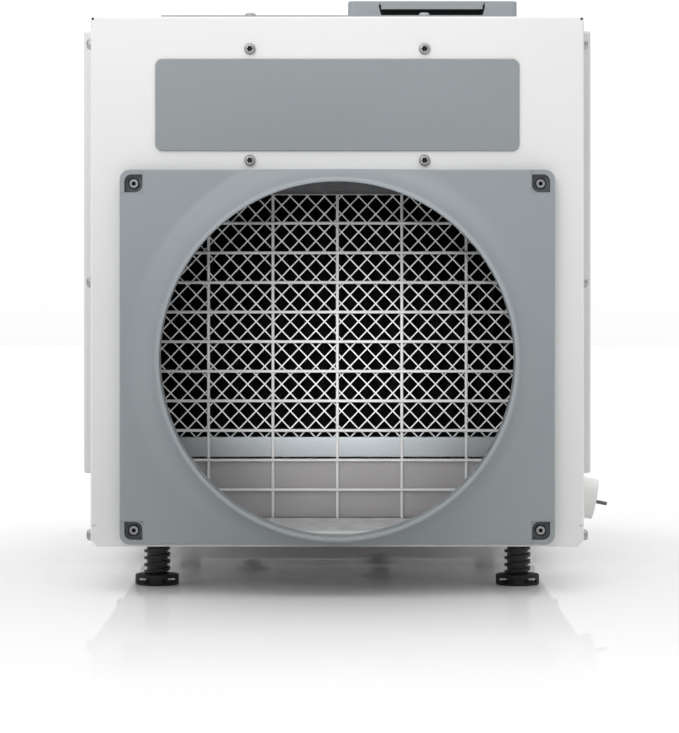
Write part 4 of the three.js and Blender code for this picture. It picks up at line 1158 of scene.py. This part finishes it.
def feet():
    """A slotted pad on the floor and a threaded stem that stands in it, at each corner."""
    pitch, core, crest, pad = 5.0, 7.5, 9.5, 15.8
    floor = FLOOR_Z
    top = floor + 7.9
    for number, (x, y) in enumerate(FEET, 1):
        bm = bmesh.new()
        profile = [(6.95, floor + 2.9), (6.95, top - 0.3), (7.3, top), (pad - 1.2, top),
                   (pad - 0.35, top - 0.35), (pad, top - 1.2), (pad, floor + 1.3), (pad - 0.3, floor + 0.5),
                   (pad - 1.0, floor + 0.1), (pad - 1.8, floor), (2.0, floor), (1.0, floor),
                   (0.4, floor + 2.9)]
        lathe(bm, "z", profile, (x, y), 72, True)
        cutters = []
        for side in (-1, 1):
            slot = x + side * 10.35
            cutters.append(solid(box, slot - 3.0, slot + 3.0, y - 20, y + 20, floor + 2.1, floor + 5.3))
            recess = x + side * 6.1
            for front in (-1, 1):
                depth = sorted((y + front * 11.2, y + front * 20))
                cutters.append(solid(box, recess - 1.9, recess + 1.9, *depth, floor + 1.6, floor + 5.2))
        bm = carve(bm, cutters)
        pad_node = f"foot_pad_{number}"
        make(f"foot_base_{number}", bm, pad_node, "rubber", [pad_node])
        bm = bmesh.new()
        stem_node = f"foot_stem_{number}"
        stem_top = cad(stem_node)[1].z
        stem = [(6.4, floor + 3.2), (6.4, top + 0.2), (8.3, top + 0.3), (8.4, top + 0.9), (core, top + 1.3),
                (core, stem_top - 1), (core - 1, stem_top)]
        lathe(bm, "z", stem, (x, y), 64)
        thread_ridge(bm, (x, y), top + 0.9, stem_top - 2.5, pitch, core, crest, 0.8 * math.pi)
        make(f"foot_screw_{number}", bm, stem_node, "black", [stem_node])


# ---- Outlet end ----


def outlet():
    start, end = LENGTH + 0.3, cad("outlet_collar")[1].y
    bore, out, flange = OUTLET_BORE, 101.6, 116.0
    bead = start + 30
    bm = bmesh.new()
    profile = [(bore, start), (flange, start), (flange, start + 2.2), (flange - 0.8, start + 3),
               (out + 2, start + 3), (out + 0.6, start + 3.5), (out, start + 5), (out, bead - 3)]
    for step in range(1, 8):
        angle = step / 8 * math.pi
        profile.append((out + 1.6 * math.sin(angle), bead - 3 * math.cos(angle)))
    profile += [(out, bead + 3), (out, end - 0.9), (out - 0.3, end - 0.25), (out - 0.9, end),
                (bore + 0.9, end), (bore + 0.3, end - 0.25), (bore, end - 0.9)]
    lathe(bm, "y", profile, (0, OUTLET_Z), 144, True)
    make("outlet_ring", bm, "cabinet", "grey", ["outlet_collar"])
    bm = bmesh.new()
    facing_rear = Matrix.Rotation(-math.pi / 2, 4, "X")
    for number in range(8):
        angle = math.radians(22.5 + 45 * number)
        place = Matrix.Translation((109 * math.cos(angle), start + 3, OUTLET_Z + 109 * math.sin(angle)))
        screw_head(bm, place @ facing_rear, 3.4, 2.2)
    make_screws("outlet_screws", bm)

    centre = middle_of("cord_gland").xz
    bm = bmesh.new()
    first = LENGTH + 0.3
    lathe(bm, "y", [(4.5, first), (10.2, first), (11, first + 0.7), (11, first + 3.9), (10.2, first + 4.7),
                    (4.5, first + 4.7)], centre, 6, True)
    lathe(bm, "y", [(4.5, first + 4), (9.5, first + 4), (9.5, first + 12.5), (9.0, first + 14),
                    (7.6, first + 18.5), (6.8, first + 19.5), (5.2, first + 19.7), (4.5, first + 19)],
          centre, 48, True)
    for number in range(16):
        angle = 2 * math.pi * number / 16
        x, z = centre[0] + 9.4 * math.cos(angle), centre[1] + 9.4 * math.sin(angle)
        tube(bm, [(x, first + 5.4, z), (x, first + 12, z)], 0.7, 10)
    make("gland_nut", bm, "cabinet", "black", ["cord_gland"])


# ---- Inside ----


def coil(name, node):
    """Thin fins between end plates, with copper bends that join the tubes in pairs at one end."""
    low, high = cad(node)
    fins = 146
    plate = 2.0
    reach = 148.0
    bm = bmesh.new()
    for number in range(fins):
        x = -reach + (number + 0.5) * 2 * reach / fins
        box(bm, x - 0.14, x + 0.14, low.y + 2, high.y - 2, low.z, high.z - 4)
    for side in (-1, 1):
        edges = sorted((side * reach, side * (reach + plate)))
        box(bm, *edges, low.y, high.y, low.z, high.z)
    make(name + "_fins", bm, "cabinet", "aluminium", [node])
    bm = bmesh.new()
    rows = 9
    pitch = (high.z - low.z - 10) / rows
    for row in range(rows):
        z = low.z + 5 + (row + 0.5) * pitch
        for y in (low.y + 13, high.y - 13):
            tube(bm, [(-reach - 1, y, z), (reach + 1, y, z)], 4.2, 14)
        if row % 2 == 0 and row + 1 < rows:
            for y in (low.y + 13, high.y - 13):
                bends = []
                for step in range(9):
                    angle = step / 8 * math.pi
                    rise = pitch / 2 * (1 - math.cos(angle))
                    bends.append((-reach - plate - 7 * math.sin(angle), y, z + rise))
                tube(bm, bends, 4.2, 14)
    make(name + "_tubes", bm, "cabinet", "copper")


def compressor():
    low, high = cad("compressor_shell")
    x, y, radius = 0.0, 531.0, 60.0
    bm = bmesh.new()
    waist = low.z + 92
    profile = [(20, low.z + 1), (36, low.z + 1), (52, low.z + 6), (58, low.z + 15),
               (radius - 1.5, low.z + 26), (radius - 1.5, waist - 3), (radius, waist - 2.4),
               (radius + 0.9, waist), (radius, waist + 2.4), (radius - 1.0, waist + 3),
               (radius - 1.0, high.z - 34)]
    for step in range(1, 10):
        angle = step / 10 * math.pi / 2
        profile.append(((radius - 1.0) * math.cos(angle), high.z - 34 + 34 * math.sin(angle)))
    profile.append((2.0, high.z))
    lathe(bm, "z", profile, (x, y), 96)
    for number in (1, 2, 3):
        bolt_x, bolt_y = middle_of(f"compressor_bolt_{number}").xy
        away = Vector((bolt_x - x, bolt_y - y, 0)).normalized()
        across = Vector((-away.y, away.x, 0))
        outline = [(-52, -24), (-8, -13)]
        for step in range(9):
            angle = -math.pi / 2 + step / 8 * math.pi
            outline.append((13 * math.cos(angle), 13 * math.sin(angle)))
        outline += [(-8, 13), (-52, 24)]
        rows = []
        for z in (low.z, low.z + 3):
            rows.append([Vector((bolt_x, bolt_y, z)) + away * u + across * v for u, v in outline])
        loft(bm, rows)
    box(bm, x + 18, x + 50, y - 62, y - 40, low.z + 70, low.z + 124)
    make("compressor_body", bm, "cabinet", "enamel", ["compressor_shell"], bevel=0.5)


def refrigerant_pipes():
    right, low_z, high_z = 162, 70, 250
    y = 531
    evaporator, condenser, drier_y = 159, 212, 230
    edge_x = 151
    suction = [(edge_x - 3, evaporator, low_z), (edge_x + 6, evaporator + 1, low_z),
               (right, evaporator + 9, low_z), (right, 320, low_z), (right, y - 40, low_z),
               (right - 10, y - 8, low_z), (130, y, low_z), (58, y, low_z)]
    discharge = [(edge_x - 3, condenser, high_z), (edge_x + 6, condenser + 1, high_z),
                 (right, condenser + 9, high_z), (right, 340, high_z), (right, y - 40, high_z),
                 (right - 12, y - 8, high_z - 2), (110, y, 240), (40, y, 237), (26, y, 228), (24, y, 200)]
    liquid = [(edge_x - 3, condenser, 110), (edge_x + 6, condenser + 2, 111), (right, drier_y - 3, 118),
              (right, drier_y, 137)]
    capillary = [(right, drier_y, 194), (right, drier_y - 2, 214), (right, condenser, 222),
                 (right, evaporator + 14, 222), (edge_x + 6, evaporator + 2, 215),
                 (edge_x - 3, evaporator, 214)]
    pipes = (
        ("suction", "suction_line", 5.0, suction),
        ("discharge", "discharge_line", 3.6, discharge),
        ("liquid", "liquid_line", 2.4, liquid),
        ("capillary", "capillary_tube", 1.5, capillary),
    )
    for name, node, radius, route in pipes:
        bm = bmesh.new()
        tube(bm, smooth_path(route, 10), radius, 20)
        make(name + "_pipe", bm, "cabinet", "copper", [node])
    bm = bmesh.new()
    drier = [(2.6, 134), (3.2, 136), (3.6, 141), (8.2, 147), (8.5, 149), (8.5, 182), (8.2, 184),
             (3.6, 190), (3.2, 194), (2.0, 196)]
    lathe(bm, "z", drier, (right, drier_y), 40)
    make("drier_body", bm, "cabinet", "copper", ["filter_drier"])


def blower():
    """Wheel with curved, backward-leaning blades between a back disc and a coned ring."""
    z0 = 142.0
    front, back, radius, eye = 266.0, 318.0, 110.0, 85.0
    bm = bmesh.new()
    disc = [(5.3, back - 12), (18, back - 12), (18.6, back - 11), (19.5, back - 1), (24, back),
            (radius - 0.6, back), (radius, back + 0.6), (radius, back + 1.6), (radius - 0.6, back + 2),
            (5.3, back + 2)]
    lathe(bm, "y", disc, (0, z0), 96, True)
    ring = [(eye, front), (eye + 2, front)]
    for step in range(1, 8):
        share = step / 8
        ring.append((eye + 2 + (radius - eye - 2) * share, front + 12 * share**0.8))
    outer = [*ring, (radius, front + 12)]
    inner = [(r, y + 1.8) for r, y in reversed(outer)]
    lathe(bm, "y", outer + inner, (0, z0), 96, True)
    blades, span_start, lean = 7, 62.0, 0.75
    for blade in range(blades):
        start = blade / blades * 2 * math.pi
        near, far = [], []
        for step in range(9):
            share = step / 8
            reach = span_start + (radius - 1 - span_start) * share
            angle = start - share * lean - 0.1 * math.sin(share * math.pi)
            for side, line in ((0, near), (1, far)):
                turn = angle + side * 2.0 / reach
                line.append((reach * math.cos(turn), reach * math.sin(turn), reach))
        outline = near + list(reversed(far))
        rows = []
        for end in (0, 1):
            row = []
            for u, v, reach in outline:
                share = min(1.0, max(0.0, (reach - eye - 2) / (radius - eye - 2)))
                y_front = front + 1.0 + 12 * share**0.8 if reach > eye else front + 6
                row.append((u, back + 0.5 if end else y_front, z0 + v))
            rows.append(row)
        loft(bm, rows)
    make("fan_wheel", bm, "blower", "black", ["blower_wheel"])


def carried_over():
    for node in ("blower_bulkhead", "motor_mount", "electrical_shelf"):
        dress(node, "zinc", 0.25)
    dress("filter_rail", "rail", 0.3)
    dress("lower_blank_panel", "blank", 0.3)
    dress("filter_frame", "card", 0.5)
    dress("drain_pan", "black", 0.4)
    dress("motor_body", "aluminium", 0.5)
    dress("motor_shaft", "steel", 0.2)
    dress("run_capacitor", "aluminium", 0.5)
    dress("power_board", "board", 0.1)
    for number in (1, 2, 3):
        dress(f"compressor_grommet_{number}", "rubber", 0.6)
        dress(f"compressor_bolt_{number}", "steel", 0.4)


# ---- Stage, lights and camera ----


def floor_material():
    """Matt white with a soft mirror sheen that is strongest under the cabinet and fades forwards."""
    material, shader = new_material("pale_floor")
    nodes = material.node_tree.nodes
    tones = [(0.3, (0.86, 0.86, 0.86)), (0.7, (0.88, 0.88, 0.88))]
    wire(material, ramp(material, noise(material, 3.0), tones), shader.inputs["Base Color"])
    shader.inputs["Roughness"].default_value = 0.9
    shader.inputs["Specular IOR Level"].default_value = 0.0
    mirror = nodes.new("ShaderNodeBsdfGlossy")
    mirror.inputs["Roughness"].default_value = 0.02
    place = nodes.new("ShaderNodeTexCoord")
    parts = nodes.new("ShaderNodeSeparateXYZ")
    wire(material, place.outputs["Object"], parts.inputs["Vector"])
    run = nodes.new("ShaderNodeMapRange")
    run.inputs["From Min"].default_value = CABINET.y - 0.5
    run.inputs["From Max"].default_value = CABINET.y + 0.5
    wire(material, parts.outputs["Y"], run.inputs["Value"])
    sheen = [(0.0, (0.02,) * 3), (0.45, (0.3,) * 3), (0.68, (0.34,) * 3), (0.78, (0.03,) * 3)]
    mix = nodes.new("ShaderNodeMixShader")
    wire(material, ramp(material, run.outputs["Result"], sheen), mix.inputs["Fac"])
    wire(material, shader.outputs["BSDF"], mix.inputs[1])
    wire(material, mirror.outputs["BSDF"], mix.inputs[2])
    wire(material, mix.outputs["Shader"], nodes["Material Output"].inputs["Surface"])
    return material


def stage():
    bm = bmesh.new()
    size = 9.0
    bmesh.ops.create_grid(bm, x_segments=1, y_segments=1, size=size)
    mesh = bpy.data.meshes.new("floor")
    bm.to_mesh(mesh)
    bm.free()
    floor = bpy.data.objects.new("floor", mesh)
    floor.location = (0, 0, cad_low.z)
    mesh.materials.append(floor_material())
    bpy.context.scene.collection.objects.link(floor)


def area_light(name, place, target, size, power, spread=180):
    data = bpy.data.lights.new(name, "AREA")
    data.spread = math.radians(spread)
    data.shape = "RECTANGLE"
    data.size, data.size_y = size
    data.energy = power
    light = bpy.data.objects.new(name, data)
    light.location = place
    light.rotation_euler = (Vector(target) - Vector(place)).to_track_quat("-Z", "Y").to_euler()
    bpy.context.scene.collection.objects.link(light)


def lights():
    world = bpy.data.worlds.new("studio")
    world.use_nodes = True
    nodes = world.node_tree.nodes
    background = nodes["Background"]
    background.inputs["Color"].default_value = (1, 1, 1, 1)
    place = nodes.new("ShaderNodeTexCoord")
    parts = nodes.new("ShaderNodeSeparateXYZ")
    wire(world, place.outputs["Generated"], parts.inputs["Vector"])
    depth = nodes.new("ShaderNodeMapRange")
    depth.inputs["From Min"].default_value = -1.0
    wire(world, parts.outputs["Y"], depth.inputs["Value"])
    glow = [(0.25, (0.06,) * 3), (0.75, (0.3,) * 3), (0.95, (0.35,) * 3), (0.985, (1.0,) * 3)]
    height = nodes.new("ShaderNodeMath")
    height.operation = "MULTIPLY_ADD"
    height.inputs[1].default_value = 1.5
    wire(world, parts.outputs["Z"], height.inputs[0])
    wire(world, ramp(world, depth.outputs["Result"], glow), height.inputs[2])
    wire(world, height.outputs["Value"], background.inputs["Strength"])
    bpy.context.scene.world = world
    face = CABINET.y
    area_light("key", (-0.45, face - 1.1, 0.82), (-0.05, face, 0.58), (0.9, 0.4), 0.72, 50)
    area_light("inside", (-0.05, face - 1.7, 0.42), (0, face + 0.1, 0.155), (0.1, 0.1), 0.055, 8)
    bpy.context.scene.view_settings.view_transform = "Standard"


def camera():
    """A long lens level with the upper part of the cabinet, shifted down to take in the floor."""
    distance, right_of_middle, above_base = 2.150, 0.0016, 0.182
    data = bpy.data.cameras.new("camera")
    data.sensor_width = 36.0
    data.lens = 148.9604
    data.shift_y = -0.104366
    data.clip_start, data.clip_end = 0.05, 60
    view = bpy.data.objects.new("camera", data)
    view.location = (CABINET.x + right_of_middle, CABINET.y - distance, CABINET.z + above_base)
    view.rotation_euler = (math.pi / 2, 0, 0)
    bpy.context.scene.collection.objects.link(view)
    bpy.context.scene.camera = view


camera()
end_panels()
wrap()
base_tray()
underside()
access_tray("left_door", "access_panel_left", "filter_door")
access_tray("right_cover", "access_panel_right", "cabinet")
cabinet_screws()
shroud_shell()
shroud_pockets()
nameplate()
guard()
ceiling_foam()
duct()
diamond_screen()
pleated_media()
control_unit()
control_lid()
top_strip()
buttons_and_display()
drain()
feet()
outlet()
coil("evaporator", "evaporator_coil")
coil("condenser", "condenser_coil")
compressor()
refrigerant_pipes()
blower()
carried_over()
stage()
lights()
